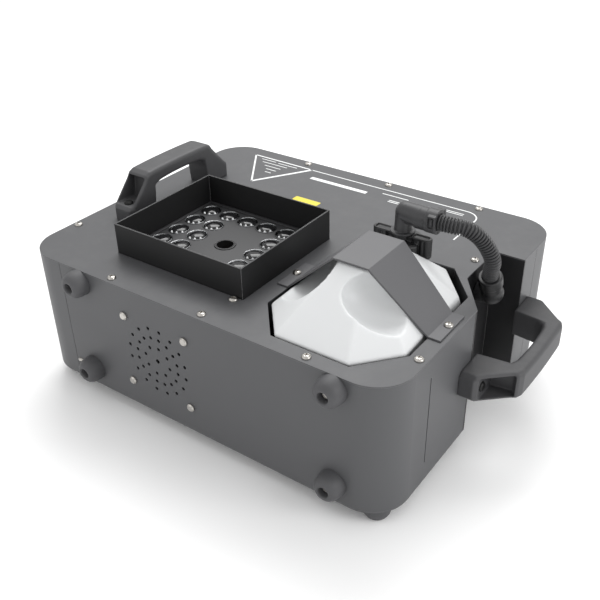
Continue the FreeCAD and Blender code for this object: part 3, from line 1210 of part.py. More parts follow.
def check_everything():
    """Refuse to write anything if an object failed or a sub-part isn't a sound solid."""
    doc.recompute()
    for item in doc.Objects:
        if "Invalid" in item.State or "Error" in item.State:
            raise ValueError(f"{item.Name} failed: {item.State}")
    labels = [item.Label for item in subparts]
    if len(set(labels)) != len(labels):
        raise ValueError("two sub-parts share a name")
    for item in subparts:
        if item.Shape.isNull() or not item.Shape.isValid() or not item.Shape.Solids:
            raise ValueError(f"{item.Label} isn't a sound solid")


def write_parts():
    """One STEP file for each sub-part."""
    os.makedirs("parts", exist_ok=True)
    for item in subparts:
        item.Shape.exportStep(f"parts/{item.Label}.step")
    print(len(subparts), "sub-parts written")


make_case()
make_screws()
make_feet()
make_handle("top_handle", "top_handle_x", "top_handle_y", "case_height", Vector(0, 0, 1), Vector(0, 1, 0))
make_handle("end_handle", "case_length", "end_handle_y", "end_handle_z", Vector(1, 0, 0), Vector(0, 1, 0))
make_lights()
make_heater()
make_pump()
make_inner_tubes()
make_tank()
make_hose()
make_fan()
make_controls()
make_sockets()
make_boards()
check_everything()
write_parts()
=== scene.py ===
# %% [markdown]
# # A fog machine, finished in Blender
# The machine is a low sheet-metal case. Fog leaves upwards through the middle of a square LED hood,
# a white tank lies in a well beside it under a strap, and a corrugated hose takes the fluid inside.
# The exact metal parts come as CAD nodes and keep their shape. Here they get their finishes, and
# the moulded parts, which CAD draws with hard edges, are modelled again with soft ones.
# Everything is in metres, with +Z up.

# %% Load the fixed frame
import math

import bmesh
import bpy
from mathutils import Matrix, Quaternion, Vector


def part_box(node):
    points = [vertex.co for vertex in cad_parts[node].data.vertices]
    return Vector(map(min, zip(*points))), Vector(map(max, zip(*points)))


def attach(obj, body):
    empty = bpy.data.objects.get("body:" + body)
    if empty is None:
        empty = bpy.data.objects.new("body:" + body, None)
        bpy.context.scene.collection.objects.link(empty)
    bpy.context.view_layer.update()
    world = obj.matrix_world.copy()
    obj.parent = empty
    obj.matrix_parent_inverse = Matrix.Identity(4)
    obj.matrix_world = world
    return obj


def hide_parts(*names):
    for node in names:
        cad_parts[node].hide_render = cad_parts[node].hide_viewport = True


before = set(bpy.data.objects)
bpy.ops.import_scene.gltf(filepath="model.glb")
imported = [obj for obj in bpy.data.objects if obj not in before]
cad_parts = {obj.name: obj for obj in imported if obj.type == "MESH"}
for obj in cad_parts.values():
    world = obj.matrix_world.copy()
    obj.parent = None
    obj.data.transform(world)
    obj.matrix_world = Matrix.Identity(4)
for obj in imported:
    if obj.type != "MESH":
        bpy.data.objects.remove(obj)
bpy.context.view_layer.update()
MM = 0.001

# %% [markdown]
# A piece that is placed by typed-in numbers drifts away from its neighbours as soon as one size
# changes. So places are worked out from the boxes of the CAD nodes. Most of them are easiest to say
# from the case's front left bottom corner, in millimetres, and at() turns such a place into metres.

# %% Places from the nodes' boxes
def low(node):
    return Vector(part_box(node)[0])


def high(node):
    return Vector(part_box(node)[1])


def middle(node):
    return (low(node) + high(node)) / 2


corner = Vector((low("left_wall").x, low("front_wall").y, low("bottom_plate").z))
plate_top = high("top_plate").z


def at(x, y, z):
    return corner + Vector((x, y, z)) * MM


print("case corner:", [round(v, 4) for v in corner], "plate top:", round(plate_top, 4))

# %% [markdown]
# The camera looks down at the front right corner. A camera needs a place, a direction and a roll.
# The direction is an azimuth and an elevation, as for a telescope, and the lens is a normal one,
# which keeps the case's straight edges calm.

# %% The camera
AZIMUTH = math.radians(36.10)
ELEVATION = math.radians(32.33)
ROLL = math.radians(-1.22)

camera = bpy.data.objects.new("Camera", bpy.data.cameras.new("Camera"))
bpy.context.collection.objects.link(camera)
camera.data.lens = 49.26
camera.data.sensor_width = 36
camera.data.clip_start = 0.01
ahead = Vector((-math.sin(AZIMUTH) * math.cos(ELEVATION), math.cos(AZIMUTH) * math.cos(ELEVATION), -math.sin(ELEVATION)))
level = ahead.to_track_quat("-Z", "Y")
camera.rotation_mode = "QUATERNION"
camera.rotation_quaternion = level @ Quaternion((0, 0, 1), ROLL)
camera.location = at(613.3, -400.4, 496.5)
bpy.context.scene.camera = camera
print("camera at", [round(v, 3) for v in camera.location])

# %% [markdown]
# Every new piece goes the same last steps: its mesh becomes an object, its normals point outwards,
# it rides on a body of the machine, gets its finish as its material, and hides the CAD nodes that it stands for.

# %% Turning a bmesh into a finished piece
def new_object(name, shape):
    mesh = bpy.data.meshes.new(name)
    shape.to_mesh(mesh)
    shape.free()
    made = bpy.data.objects.new(name, mesh)
    bpy.context.collection.objects.link(made)
    return made


def settle(made):
    """Keep the mesh that the modifiers give."""
    graph = bpy.context.evaluated_depsgraph_get()
    mesh = bpy.data.meshes.new_from_object(made.evaluated_get(graph), depsgraph=graph)
    made.modifiers.clear()
    made.data = mesh


def outwards(shape):
    bmesh.ops.remove_doubles(shape, verts=shape.verts, dist=1e-6)
    bmesh.ops.recalc_face_normals(shape, faces=shape.faces)
    return shape


def smooth_by_angle(made, degrees=35):
    """Shade smooth, but keep edges sharper than the angle."""
    mesh = made.data
    mesh.shade_smooth()
    shape = bmesh.new()
    shape.from_mesh(mesh)
    for edge in shape.edges:
        turn = edge.calc_face_angle(0)
        edge.smooth = turn < math.radians(degrees)
    shape.to_mesh(mesh)
    shape.free()


def finish_piece(made, material, body="case", nodes=()):
    made.data.materials.clear()
    made.data.materials.append(material)
    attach(made, body)
    if nodes:
        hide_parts(*nodes)
    print(made.name, "-", len(made.data.polygons), "faces")
    return made


# %% [markdown]
# Moulded parts are built the way a maker of models builds them from clay: blocks, rods and balls
# pushed into each other, some space cut away, and then the whole skin made one and rubbed smooth.
# The Boolean modifier cuts, Remesh makes one even skin, and Smooth rounds its edges.

# %% Blocks, rods, balls and turned shapes
def turn_to(axis):
    """The rotation that takes +Z to the axis."""
    return Vector(axis).to_track_quat("Z", "Y").to_matrix().to_4x4()


def add_rod(shape, radius, length, place, axis=(0, 0, 1), segments=48, end_radius=None):
    depth = Matrix.Translation((0, 0, length / 2))
    bmesh.ops.create_cone(
        shape, cap_ends=True, segments=segments, radius1=radius,
        radius2=radius if end_radius is None else end_radius, depth=length,
        matrix=Matrix.Translation(place) @ turn_to(axis) @ depth)


def add_block(shape, place, size, turn=None):
    bmesh.ops.create_cube(
        shape, size=1,
        matrix=Matrix.Translation(place) @ (turn or Matrix.Identity(4)) @ Matrix.Diagonal((*size, 1)))


def add_ball(shape, radius, place):
    bmesh.ops.create_uvsphere(shape, u_segments=48, v_segments=24, radius=radius, matrix=Matrix.Translation(place))


def add_outline(shape, points, depth, place, turn):
    """A prism: an outline in its own x and y, made thick along z."""
    corners = [shape.verts.new((*point, -depth / 2)) for point in points]
    face = shape.faces.new(corners)
    grown = bmesh.ops.extrude_face_region(shape, geom=[face])
    moved = [item for item in grown["geom"] if isinstance(item, bmesh.types.BMVert)]
    bmesh.ops.translate(shape, verts=moved, vec=(0, 0, depth))
    bmesh.ops.transform(shape, matrix=Matrix.Translation(place) @ turn, verts=corners + moved)


def add_turned(shape, profile, place, axis=(0, 0, 1), steps=48):
    """Spin a profile of (radius, height) pairs in millimetres round an axis."""
    before = set(shape.verts)
    corners = [shape.verts.new((radius * MM, 0, height * MM)) for radius, height in profile]
    edges = [shape.edges.new(pair) for pair in zip(corners, corners[1:])]
    bmesh.ops.spin(shape, geom=corners + edges, cent=(0, 0, 0), axis=(0, 0, 1), angle=math.tau,
                   steps=steps, use_merge=True)
    fresh = [vertex for vertex in shape.verts if vertex not in before]
    bmesh.ops.transform(shape, matrix=Matrix.Translation(place) @ turn_to(axis), verts=fresh)


def carved(name, solid, hollows):
    """Cut the hollows out of a solid, and leave its edges crisp."""
    made = new_object(name, outwards(solid))
    tools = [new_object(name + "_hollow", outwards(hollow)) for hollow in hollows]
    for tool in tools:
        cut = made.modifiers.new("Cut", "BOOLEAN")
        cut.operation = "DIFFERENCE"
        cut.solver = "EXACT"
        cut.use_self = True
        cut.object = tool
    settle(made)
    for tool in tools:
        bpy.data.objects.remove(tool)
    return made


def moulded(name, solid, hollows, voxel, rounds):
    """Cut the hollows out, then make one even skin and rub it smooth."""
    made = carved(name, solid, hollows)
    skin = made.modifiers.new("Skin", "REMESH")
    skin.mode = "VOXEL"
    skin.voxel_size = voxel
    skin.use_smooth_shade = True
    rub = made.modifiers.new("Rub", "SMOOTH")
    rub.factor = 0.5
    rub.iterations = rounds
    settle(made)
    made.data.shade_smooth()
    return made


# %% [markdown]
# The hose comes first, because it is the one piece that has a length of its own. Its route is a
# smooth NURBS curve through a few control points, from the socket in the cap's elbow, over in an
# arc, and down into the elbow in the notch.

# %% The hose's route
cap_middle = middle("tank_cap")
ARM_RADIUS = 10.9 * MM
ARM_SEAT = 3 * MM
arm_height = high("cap_elbow").z - ARM_RADIUS - ARM_SEAT
cap_x = (cap_middle.x - corner.x) / MM
cap_y = (cap_middle.y - corner.y) / MM
hose_rise = (arm_height - corner.z) / MM
route_points = [
    (335.5, 165, hose_rise), (356.7, 165, hose_rise), (371.8, 170, hose_rise - 1),
    (383, 178.2, 169), (391, 185.6, 148.5), (385, 193.3, 134), (385, 200.4, 115.8),
]
route_curve = bpy.data.curves.new("HoseRoute", "CURVE")
route_curve.dimensions = "3D"
route_curve.resolution_u = 24
spline = route_curve.splines.new("NURBS")
spline.points.add(len(route_points) - 1)
for control, place in zip(spline.points, route_points):
    control.co = (*at(*place), 1)
spline.order_u = 3
spline.use_endpoint_u = True
route_object = bpy.data.objects.new("HoseRoute", route_curve)
bpy.context.collection.objects.link(route_object)
bpy.context.view_layer.update()
graph = bpy.context.evaluated_depsgraph_get()
route_mesh = bpy.data.meshes.new_from_object(route_object.evaluated_get(graph))
hose_line = [vertex.co.copy() for vertex in route_mesh.vertices]
bpy.data.objects.remove(route_object)
bpy.data.meshes.remove(route_mesh)
hose_length = sum((b - a).length for a, b in zip(hose_line, hose_line[1:]))
print("hose line:", len(hose_line), "points,", round(hose_length, 4), "m")

# %% [markdown]
# A corrugated hose is a row of rings. The easy way is to turn it straight, like on a lathe, and then
# to bend it: each vertex keeps its distance from the axis and its place along it, and the straight
# axis becomes the route. The cross-sections are carried along without twisting.

# %% Turning the hose and bending it
def frames_along(points):
    """A place, a sideways and an upward direction at each point, carried along without twist."""
    result = []
    side = None
    for index, point in enumerate(points):
        before = points[max(index - 1, 0)]
        after = points[min(index + 1, len(points) - 1)]
        forward = (after - before).normalized()
        if side is None:
            side = forward.orthogonal().normalized()
        side = (side - forward * side.dot(forward)).normalized()
        result.append((point, side, forward.cross(side)))
    return result


RING_PITCH = 2.75
CREST = 7.2
GROOVE = 5.6
length_mm = hose_length / MM
ring_count = int(length_mm / RING_PITCH)
pitch = length_mm / ring_count
profile = [(0, 0)]
for index in range(ring_count):
    start = index * pitch
    profile += [(GROOVE, start), (GROOVE, start + 0.22 * pitch), (CREST - 0.35, start + 0.36 * pitch),
                (CREST, start + 0.5 * pitch), (CREST, start + 0.74 * pitch), (CREST - 0.35, start + 0.88 * pitch)]
profile += [(GROOVE, length_mm), (0, length_mm)]
hose_shape = bmesh.new()
add_turned(hose_shape, profile, (0, 0, 0), steps=40)
outwards(hose_shape)

carried = frames_along(hose_line)
travelled = [0]
for a, b in zip(hose_line, hose_line[1:]):
    travelled.append(travelled[-1] + (b - a).length)
for vertex in hose_shape.verts:
    along = min(max(vertex.co.z, 0), hose_length)
    index = max(i for i, distance in enumerate(travelled[:-1]) if distance <= along + 1e-9)
    share = (along - travelled[index]) / (travelled[index + 1] - travelled[index])
    place_a, side_a, up_a = carried[index]
    place_b, side_b, up_b = carried[index + 1]
    place = place_a.lerp(place_b, share)
    side = side_a.lerp(side_b, share).normalized()
    up = up_a.lerp(up_b, share).normalized()
    vertex.co = place + side * vertex.co.x + up * vertex.co.y
hose = new_object("Hose", hose_shape)
smooth_by_angle(hose, 50)

# %% [markdown]
# ## Finishes
# A finish is more than a colour. Powder coat has a fine orange-peel surface, sheet edges catch the
# light, which is painted in as lighter rims (a painted highlight, partly also wear), and flat tops
# gather a little dust. These effects are shared by many materials, so each is one node group with
# its own inputs, which puts out only values and normals.

# %% Small helpers for node trees
def node(tree, kind, **settings):
    made = tree.nodes.new(kind)
    for name, value in settings.items():
        setattr(made, name, value)
    return made


def value_node(tree, operation, a, b=0.0, clamp=False):
    made = node(tree, "ShaderNodeMath", operation=operation, use_clamp=clamp)
    for socket, item in zip(made.inputs, (a, b)):
        if isinstance(item, (int, float)):
            socket.default_value = item
        else:
            tree.links.new(item, socket)
    return made.outputs[0]


def spread(tree, source, from_low, from_high, to_low, to_high):
    made = node(tree, "ShaderNodeMapRange")
    tree.links.new(source, made.inputs["Value"])
    for name, value in (("From Min", from_low), ("From Max", from_high), ("To Min", to_low), ("To Max", to_high)):
        if isinstance(value, (int, float)):
            made.inputs[name].default_value = value
        else:
            tree.links.new(value, made.inputs[name])
    return made.outputs[0]


def blend_colours(tree, share, first, second):
    made = node(tree, "ShaderNodeMix", data_type="RGBA")
    sockets = [made.inputs["Factor"]] + [s for s in made.inputs if s.type == "RGBA"]
    for socket, item in zip(sockets, (share, first, second)):
        if isinstance(item, (int, float)):
            socket.default_value = item
        elif isinstance(item, tuple):
            socket.default_value = (*item, 1)
        else:
            tree.links.new(item, socket)
    return next(s for s in made.outputs if s.type == "RGBA")


def new_group(name, inputs, outputs):
    group = bpy.data.node_groups.new(name, "ShaderNodeTree")
    for label, kind, default in inputs:
        socket = group.interface.new_socket(label, in_out="INPUT", socket_type=kind)
        socket.default_value = default
    for label, kind in outputs:
        group.interface.new_socket(label, in_out="OUTPUT", socket_type=kind)
    return group, group.nodes.new("NodeGroupInput"), group.nodes.new("NodeGroupOutput")


# %% [markdown]
# Soft edges: a folded or moulded edge is never perfectly sharp. The Bevel node looks at the faces
# nearby and bends the normal over the edge, which costs no geometry. Where the bent normal differs
# from the true one there is an edge, and that difference is the mask for the rims' colour: a painted
# highlight where edges catch the light, partly also wear.

# %% The soft edge group
FLOAT = "NodeSocketFloat"
edge_group, entry, leave = new_group(
    "Soft edges", [("Radius", FLOAT, 0.0006)], [("Normal", "NodeSocketVector"), ("Edge", FLOAT)])
bevel = node(edge_group, "ShaderNodeBevel", samples=6)
edge_group.links.new(entry.outputs["Radius"], bevel.inputs["Radius"])
facing = node(edge_group, "ShaderNodeNewGeometry")
compare = node(edge_group, "ShaderNodeVectorMath", operation="DOT_PRODUCT")
edge_group.links.new(bevel.outputs[0], compare.inputs[0])
edge_group.links.new(facing.outputs["Normal"], compare.inputs[1])
edge_group.links.new(bevel.outputs[0], leave.inputs["Normal"])
edge_group.links.new(spread(edge_group, compare.outputs["Value"], 0.995, 0.86, 0, 1), leave.inputs["Edge"])
print(edge_group.name, "made")

# %% [markdown]
# Grain and clouds: a fine noise for the bumps of the surface, and a large faint one that keeps a
# wide sheet from looking computed. Both read Object coordinates, which are metres here, so the
# size of the grain is the real size.

# %% The grain group
grain_group, entry, leave = new_group(
    "Grain", [("Size", FLOAT, 900.0), ("Cloud size", FLOAT, 9.0)], [("Height", FLOAT), ("Cloud", FLOAT)])
coordinates = node(grain_group, "ShaderNodeTexCoord")
fine = node(grain_group, "ShaderNodeTexNoise")
fine.inputs["Detail"].default_value = 2
cloud = node(grain_group, "ShaderNodeTexNoise")
cloud.inputs["Detail"].default_value = 4
for texture, size in ((fine, "Size"), (cloud, "Cloud size")):
    grain_group.links.new(coordinates.outputs["Object"], texture.inputs["Vector"])
    grain_group.links.new(entry.outputs[size], texture.inputs["Scale"])
grain_group.links.new(fine.outputs[0], leave.inputs["Height"])
grain_group.links.new(spread(grain_group, cloud.outputs[0], 0.3, 0.7, 0, 1), leave.inputs["Cloud"])
print(grain_group.name, "made")

# %% [markdown]
# Dust lies only on what faces up, and in patches. The mask is the upward part of the normal times
# a broken-up noise.

# %% The dust group
dust_group, entry, leave = new_group("Dust", [("Amount", FLOAT, 0.2)], [("Mask", FLOAT)])
facing = node(dust_group, "ShaderNodeNewGeometry")
parts = node(dust_group, "ShaderNodeSeparateXYZ")
dust_group.links.new(facing.outputs["Normal"], parts.inputs[0])
coordinates = node(dust_group, "ShaderNodeTexCoord")
patches = node(dust_group, "ShaderNodeTexNoise")
patches.inputs["Scale"].default_value = 45
patches.inputs["Detail"].default_value = 8
patches.inputs["Roughness"].default_value = 0.7
dust_group.links.new(coordinates.outputs["Object"], patches.inputs["Vector"])
upward = spread(dust_group, parts.outputs["Z"], 0.5, 1, 0, 1)
patchy = spread(dust_group, patches.outputs[0], 0.45, 0.75, 0, 1)
masked = value_node(dust_group, "MULTIPLY", upward, patchy)
dust_group.links.new(value_node(dust_group, "MULTIPLY", masked, entry.outputs["Amount"]), leave.inputs["Mask"])
print(dust_group.name, "made")

# %% [markdown]
# Most finishes are one recipe with different amounts: a base colour with faint clouds, rims along
# the edges painted lighter as a painted highlight (partly also wear), a film of dust, a grainy bump,
# and a roughness that follows the clouds.

# %% The shared recipe
def group_node(tree, group, **amounts):
    made = node(tree, "ShaderNodeGroup", node_tree=group)
    for name, value in amounts.items():
        made.inputs[name.replace("_", " ")].default_value = value
    return made


def finish(name, colour, roughness, metallic=0.0, grain=900, depth=0.03, edge=None, edge_radius=0.0006,
           dust=0.0, clouds=0.12, dull=0.06):
    made = bpy.data.materials.new(name)
    made.use_nodes = True
    tree = made.node_tree
    shader = tree.nodes["Principled BSDF"]
    shader.inputs["Metallic"].default_value = metallic
    grains = group_node(tree, grain_group, Size=grain)
    darker = tuple(part * (1 - clouds) for part in colour)
    lighter = tuple(min(part * (1 + clouds), 1) for part in colour)
    surface = blend_colours(tree, grains.outputs["Cloud"], darker, lighter)
    edges = group_node(tree, edge_group, Radius=edge_radius)
    # The edge colour paints the rims: a painted highlight where edges catch the light, partly also wear.
    if edge:
        surface = blend_colours(tree, edges.outputs["Edge"], surface, edge)
    if dust:
        film = group_node(tree, dust_group, Amount=dust)
        surface = blend_colours(tree, film.outputs["Mask"], surface, (0.42, 0.41, 0.39))
    tree.links.new(surface, shader.inputs["Base Color"])
    tree.links.new(spread(tree, grains.outputs["Cloud"], 0, 1, roughness - dull, roughness + dull),
                   shader.inputs["Roughness"])
    bump = node(tree, "ShaderNodeBump")
    bump.inputs["Strength"].default_value = 1
    bump.inputs["Distance"].default_value = depth * MM
    tree.links.new(grains.outputs["Height"], bump.inputs["Height"])
    tree.links.new(edges.outputs["Normal"], bump.inputs["Normal"])
    tree.links.new(bump.outputs["Normal"], shader.inputs["Normal"])
    return made


# %% [markdown]
# The metalwork is powder coated: the case in charcoal, the strap a shade lighter, the hood, the LED
# panel and the notch nearly black. Plastic and rubber are dull with a finer grain. Bare metal is
# metallic, and the screws are nickel plated with a faintly warm tint.

# %% The finishes
# The edge colours paint the rims: lighter ones are a painted highlight where edges catch the light, partly also wear;
# the strap's rims are painted darker.
PAINTED_RIM_HIGHLIGHT = (0.32, 0.32, 0.33)
case_coat = finish("Case coat", (0.073, 0.074, 0.078), 0.48, grain=1400, depth=0.012, dust=0.04, edge=(0.13, 0.13, 0.135), clouds=0.04)
hood_coat = finish("Hood coat", (0.003, 0.003, 0.0035), 0.58, grain=1400, depth=0.012, edge=PAINTED_RIM_HIGHLIGHT, edge_radius=0.0005, clouds=0.05)
panel_coat = finish("LED panel coat", (0.036, 0.036, 0.038), 0.5, grain=1400, depth=0.012, clouds=0.06)
liner_coat = finish("Liner coat", (0.012, 0.012, 0.013), 0.5, grain=1400, depth=0.012, edge=(0.14, 0.14, 0.14), clouds=0.05)
strap_coat = finish("Strap coat", (0.1, 0.1, 0.105), 0.48, grain=1400, depth=0.012, edge=(0.05, 0.05, 0.052), clouds=0.03)
black_plastic = finish("Black plastic", (0.035, 0.035, 0.037), 0.46, grain=2600, depth=0.02, edge_radius=0.0004)
cap_plastic = finish("Cap plastic", (0.012, 0.012, 0.013), 0.4, grain=2600, depth=0.02, edge=(0.1, 0.1, 0.1), edge_radius=0.0005)
wall_plastic = finish("Elbow plastic", (0.012, 0.012, 0.013), 0.45, grain=2600, depth=0.02, edge_radius=0.0004)
grip_plastic = finish("Grip plastic", (0.05, 0.05, 0.053), 0.52, grain=1800, depth=0.03, edge_radius=0.0004, dust=0.05)
hose_plastic = finish("Hose plastic", (0.032, 0.032, 0.034), 0.45, grain=2600, depth=0.015, edge_radius=0.0002)
rubber = finish("Rubber", (0.062, 0.062, 0.066), 0.55, grain=2200, depth=0.03, dust=0.08)
nickel = finish("Nickel screws", (0.5, 0.48, 0.45), 0.3, metallic=1.0, grain=3000, depth=0.004, edge_radius=0.0003)
dark_steel = finish("Blackened steel", (0.03, 0.03, 0.03), 0.5, metallic=1.0, grain=2000, depth=0.004)
bright_steel = finish("Zinc plated steel", (0.55, 0.56, 0.57), 0.34, metallic=1.0, grain=1500, depth=0.01)
aluminium = finish("Extruded aluminium", (0.68, 0.69, 0.7), 0.38, metallic=1.0, grain=1500, depth=0.01)
brass = finish("Turned brass", (0.68, 0.49, 0.2), 0.26, metallic=1.0, grain=2000, depth=0.006)
silicone = finish("Silicone tube", (0.62, 0.62, 0.58), 0.35, grain=800, depth=0.01)
button_plastic = finish("Button plastic", (0.09, 0.09, 0.095), 0.5, grain=2600, depth=0.02, edge_radius=0.0003)
switch_plastic = finish("Switch plastic", (0.42, 0.02, 0.014), 0.28, grain=2600, depth=0.004, edge_radius=0.0004)
resin = finish("LED resin", (0.8, 0.68, 0.22), 0.4, grain=3000, depth=0.004)
# White ink is the print colour, and also the colour of the painted glint domes on the lenses.
white_ink_and_glint = finish("White ink and painted glint", (0.85, 0.86, 0.86), 0.5, grain=1800, depth=0.006, clouds=0.03)
yellow_label = finish("Yellow label", (0.78, 0.66, 0.05), 0.42, grain=900, depth=0.006, clouds=0.05)
print("finishes:", len(bpy.data.materials))

# %% [markdown]
# A circuit board is green because of its solder mask, with copper tracks showing through as a
# lighter green. A Brick texture gives the net of straight tracks.

# %% The circuit boards' finish
board_green = finish("Solder mask", (0.014, 0.085, 0.03), 0.3, grain=900, depth=0.01)
tree = board_green.node_tree
shader = tree.nodes["Principled BSDF"]
coordinates = node(tree, "ShaderNodeTexCoord")
tracks = node(tree, "ShaderNodeTexBrick")
tracks.inputs["Scale"].default_value = 90
tracks.inputs["Mortar Size"].default_value = 0.03
tree.links.new(coordinates.outputs["Object"], tracks.inputs["Vector"])
mask = shader.inputs["Base Color"].links[0].from_socket
tree.links.new(blend_colours(tree, tracks.outputs["Fac"], mask, (0.05, 0.2, 0.07)), shader.inputs["Base Color"])
print(board_green.name, "has tracks")

# %% [markdown]
# The tank is blown from natural polyethylene, which is milky: light goes in, scatters and comes out
# nearby. Subsurface weight does that. The lenses are smoked, and the display's window is a dark
# gloss film whose faint blue is a painted backlight glow.

# %% The milky, smoked and glossy finishes
milky = finish("Milky tank", (0.67, 0.68, 0.685), 0.42, grain=300, depth=0.02, clouds=0.015, edge_radius=0.001)
shader = milky.node_tree.nodes["Principled BSDF"]
shader.inputs["Subsurface Weight"].default_value = 0.15
shader.inputs["Subsurface Radius"].default_value = (0.006, 0.006, 0.006)
shader.inputs["Subsurface Scale"].default_value = 1

smoked_lens = finish("Smoked lens", (0.012, 0.012, 0.013), 0.08, grain=500, depth=0.002, dull=0.02)
# The display film's faint blue is a painted backlight glow on a dark gloss window.
display_film_and_backlight = finish("Display film and painted backlight", (0.006, 0.012, 0.03), 0.12, grain=500, depth=0.002)
reflector = finish("Lens reflector", (0.5, 0.51, 0.52), 0.22, metallic=1.0, grain=900, depth=0.004)
print("finishes:", len(bpy.data.materials))

# %% [markdown]
# A CAD node whose shape is right keeps it. It only gets its finish, by putting a material in its
# slots. The table says which finish each node has, one line for each finish.

# %% Finishes for the CAD nodes
NODE_FINISHES = {
    case_coat: ["top_plate", "front_wall", "left_wall", "back_wall", "right_wall", "bottom_plate"],
    hood_coat: ["led_hood", "nozzle_shroud"],
    panel_coat: ["led_panel"],
    liner_coat: ["notch_liner", "tank_tray"],
    strap_coat: ["tank_strap"],
    nickel: ["fan_screws", "foot_screws"],
    dark_steel: ["handle_screws"],
    bright_steel: ["led_spacers", "heater_stands", "thermostats", "heater_cover", "pump", "pump_bracket",
                   "power_supply", "dmx_latch"],
    aluminium: ["led_heat_sink", "heater_block"],
    brass: ["nozzle"],
    board_green: ["led_board", "control_board", "main_board"],
    resin: ["led_emitters"],
    silicone: ["suction_tube", "pressure_tube", "dip_tube"],
    black_plastic: ["fan_frame", "fan_rotor", "dmx_input", "dmx_output", "power_inlet", "fuse_holder", "fuse_cap",
                    "switch_housing"],
    display_film_and_backlight: ["display_window"],
    button_plastic: ["menu_button", "up_button", "down_button", "enter_button"],
    switch_plastic: ["power_rocker"],
}
for material, names in NODE_FINISHES.items():
    for name in names:
        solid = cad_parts[name]
        solid = bpy.data.objects[solid] if isinstance(solid, str) else solid
        for index in range(max(len(solid.data.materials), 1)):
            if index < len(solid.data.materials):
                solid.data.materials[index] = material
            else:
                solid.data.materials.append(material)
print("nodes with their own shape:", sum(len(names) for names in NODE_FINISHES.values()))

# %% [markdown]
# The hose was bent above.

# %% The hose's finish
finish_piece(hose, hose_plastic, "case", ["hose"])

# %% [markdown]
# ## The tank
# The tank is one blown bottle: a deep octagon in its well, and a faceted crown that rises to the
# strap. Facets of a blown bottle melt into each other, and it has two hand-sized scoops. Two
# octagons are bridged into the crown, stretched balls cut the scoops, and the skin is rubbed smooth
# until the ridges are soft.

# %% The tank's skin
tank_low = low("tank")
tank_high = high("tank")
left = (tank_low.x - corner.x) / MM
right = (tank_high.x - corner.x) / MM
front = (tank_low.y - corner.y) / MM
back = (tank_high.y - corner.y) / MM
deck = (plate_top - corner.z) / MM
center = (left + right) / 2
middle_y = (front + back) / 2
CUT_X = 29.5
CUT_Y = 35
CROWN_HALF = 17
CROWN_FRONT = 75
CROWN_BACK = 126
CROWN_RISE = 46


def ring_of(shape, spots, height):
    return [shape.verts.new(at(x, y, height)) for x, y in spots]


deep_ring = [(left + CUT_X, front), (right - CUT_X, front), (right, front + CUT_Y), (right, back - CUT_Y),
             (right - CUT_X, back), (left + CUT_X, back), (left, back - CUT_Y), (left, front + CUT_Y)]
crown_ring = [(center - CROWN_HALF + 6, CROWN_FRONT), (center + CROWN_HALF - 6, CROWN_FRONT),
              (center + CROWN_HALF, CROWN_FRONT + 10), (center + CROWN_HALF, CROWN_BACK - 10),
              (center + CROWN_HALF - 6, CROWN_BACK), (center - CROWN_HALF + 6, CROWN_BACK),
              (center - CROWN_HALF, CROWN_BACK - 10), (center - CROWN_HALF, CROWN_FRONT + 10)]
tank_shape = bmesh.new()
floor_z = (tank_low.z - corner.z) / MM
BRIM_OUT = 3.6
BACK_IN = 2
brim_ring = []
for x, y in deep_ring:
    if y < middle_y:
        brim_ring.append((x + BRIM_OUT / 2 if x > center else x, y - BRIM_OUT))
    else:
        brim_ring.append((x - BACK_IN, y - BACK_IN))
rings = [ring_of(tank_shape, deep_ring, floor_z), ring_of(tank_shape, deep_ring, deck - 8),
         ring_of(tank_shape, brim_ring, deck + 0.8),
         ring_of(tank_shape, crown_ring, deck + CROWN_RISE)]
for ring in rings:
    for first, second in zip(ring, ring[1:] + ring[:1]):
        tank_shape.edges.new((first, second))
for lower, upper in zip(rings, rings[1:]):
    loops = [edge for edge in tank_shape.edges
             if all(vertex in lower for vertex in edge.verts) or all(vertex in upper for vertex in edge.verts)]
    bmesh.ops.bridge_loops(tank_shape, edges=loops)
bmesh.ops.contextual_create(tank_shape, geom=rings[0])
bmesh.ops.contextual_create(tank_shape, geom=rings[-1])
add_turned(tank_shape, [(0, 0), (18, 0), (18, 9), (16, 10.5), (16, 22), (0, 22)], at(cap_x, cap_y, deck + 1))

hand_scoop = bmesh.new()
add_ball(hand_scoop, 1, (0, 0, 0))
bmesh.ops.transform(
    hand_scoop, verts=hand_scoop.verts,
    matrix=Matrix.Translation(at(358, 62.5, deck + 32)) @ Matrix.Diagonal((39 * MM, 23.5 * MM, 24 * MM, 1)))
side_scoop = bmesh.new()
add_ball(side_scoop, 1, (0, 0, 0))
bmesh.ops.transform(
    side_scoop, verts=side_scoop.verts,
    matrix=Matrix.Translation(at(266, 78, deck + 38)) @ Matrix.Diagonal((37.5 * MM, 48 * MM, 34 * MM, 1)))
tank = moulded("Tank", tank_shape, [hand_scoop, side_scoop], 1.3 * MM, 4)
finish_piece(tank, milky, "case", ["tank"])

# %% [markdown]
# The cap is turned by hand, so it has a wing: a bar that runs right across a round skirt. Moulders
# keep walls thin, so the wing is hollowed from above and grooved near its ends, which leaves fine
# rims; the cap's finish paints them lighter, a painted highlight.

# %% The tank's cap
cap_low = low("tank_cap")
cap_high = high("tank_cap")
WING_SEAT = 2.6
cap_tall = (cap_high.z - cap_low.z) / MM - WING_SEAT
cap_axis = Vector((cap_middle.x, cap_middle.y, cap_low.z))
WING_END = 28.4
WING_THICK = 4.9
WING_LOW = 3.7
wing_tall = cap_tall - WING_LOW
quarter = [(WING_END, 1.7), (26.4, 3.9), (23.4, WING_THICK)]
wing = (quarter + [(-x, y) for x, y in reversed(quarter)] + [(-x, -y) for x, y in quarter]
        + [(x, -y) for x, y in reversed(quarter)])
cap_shape = bmesh.new()
add_turned(cap_shape, [(0, 0), (19.2, 0), (19.2, 14.8), (17.2, 16.8), (0, 16.8)], cap_axis)
add_outline(cap_shape, [(x * MM, y * MM) for x, y in wing], wing_tall * MM,
            cap_axis + Vector((0, 0, WING_LOW + wing_tall / 2)) * MM, Matrix.Identity(4))
grooves = bmesh.new()
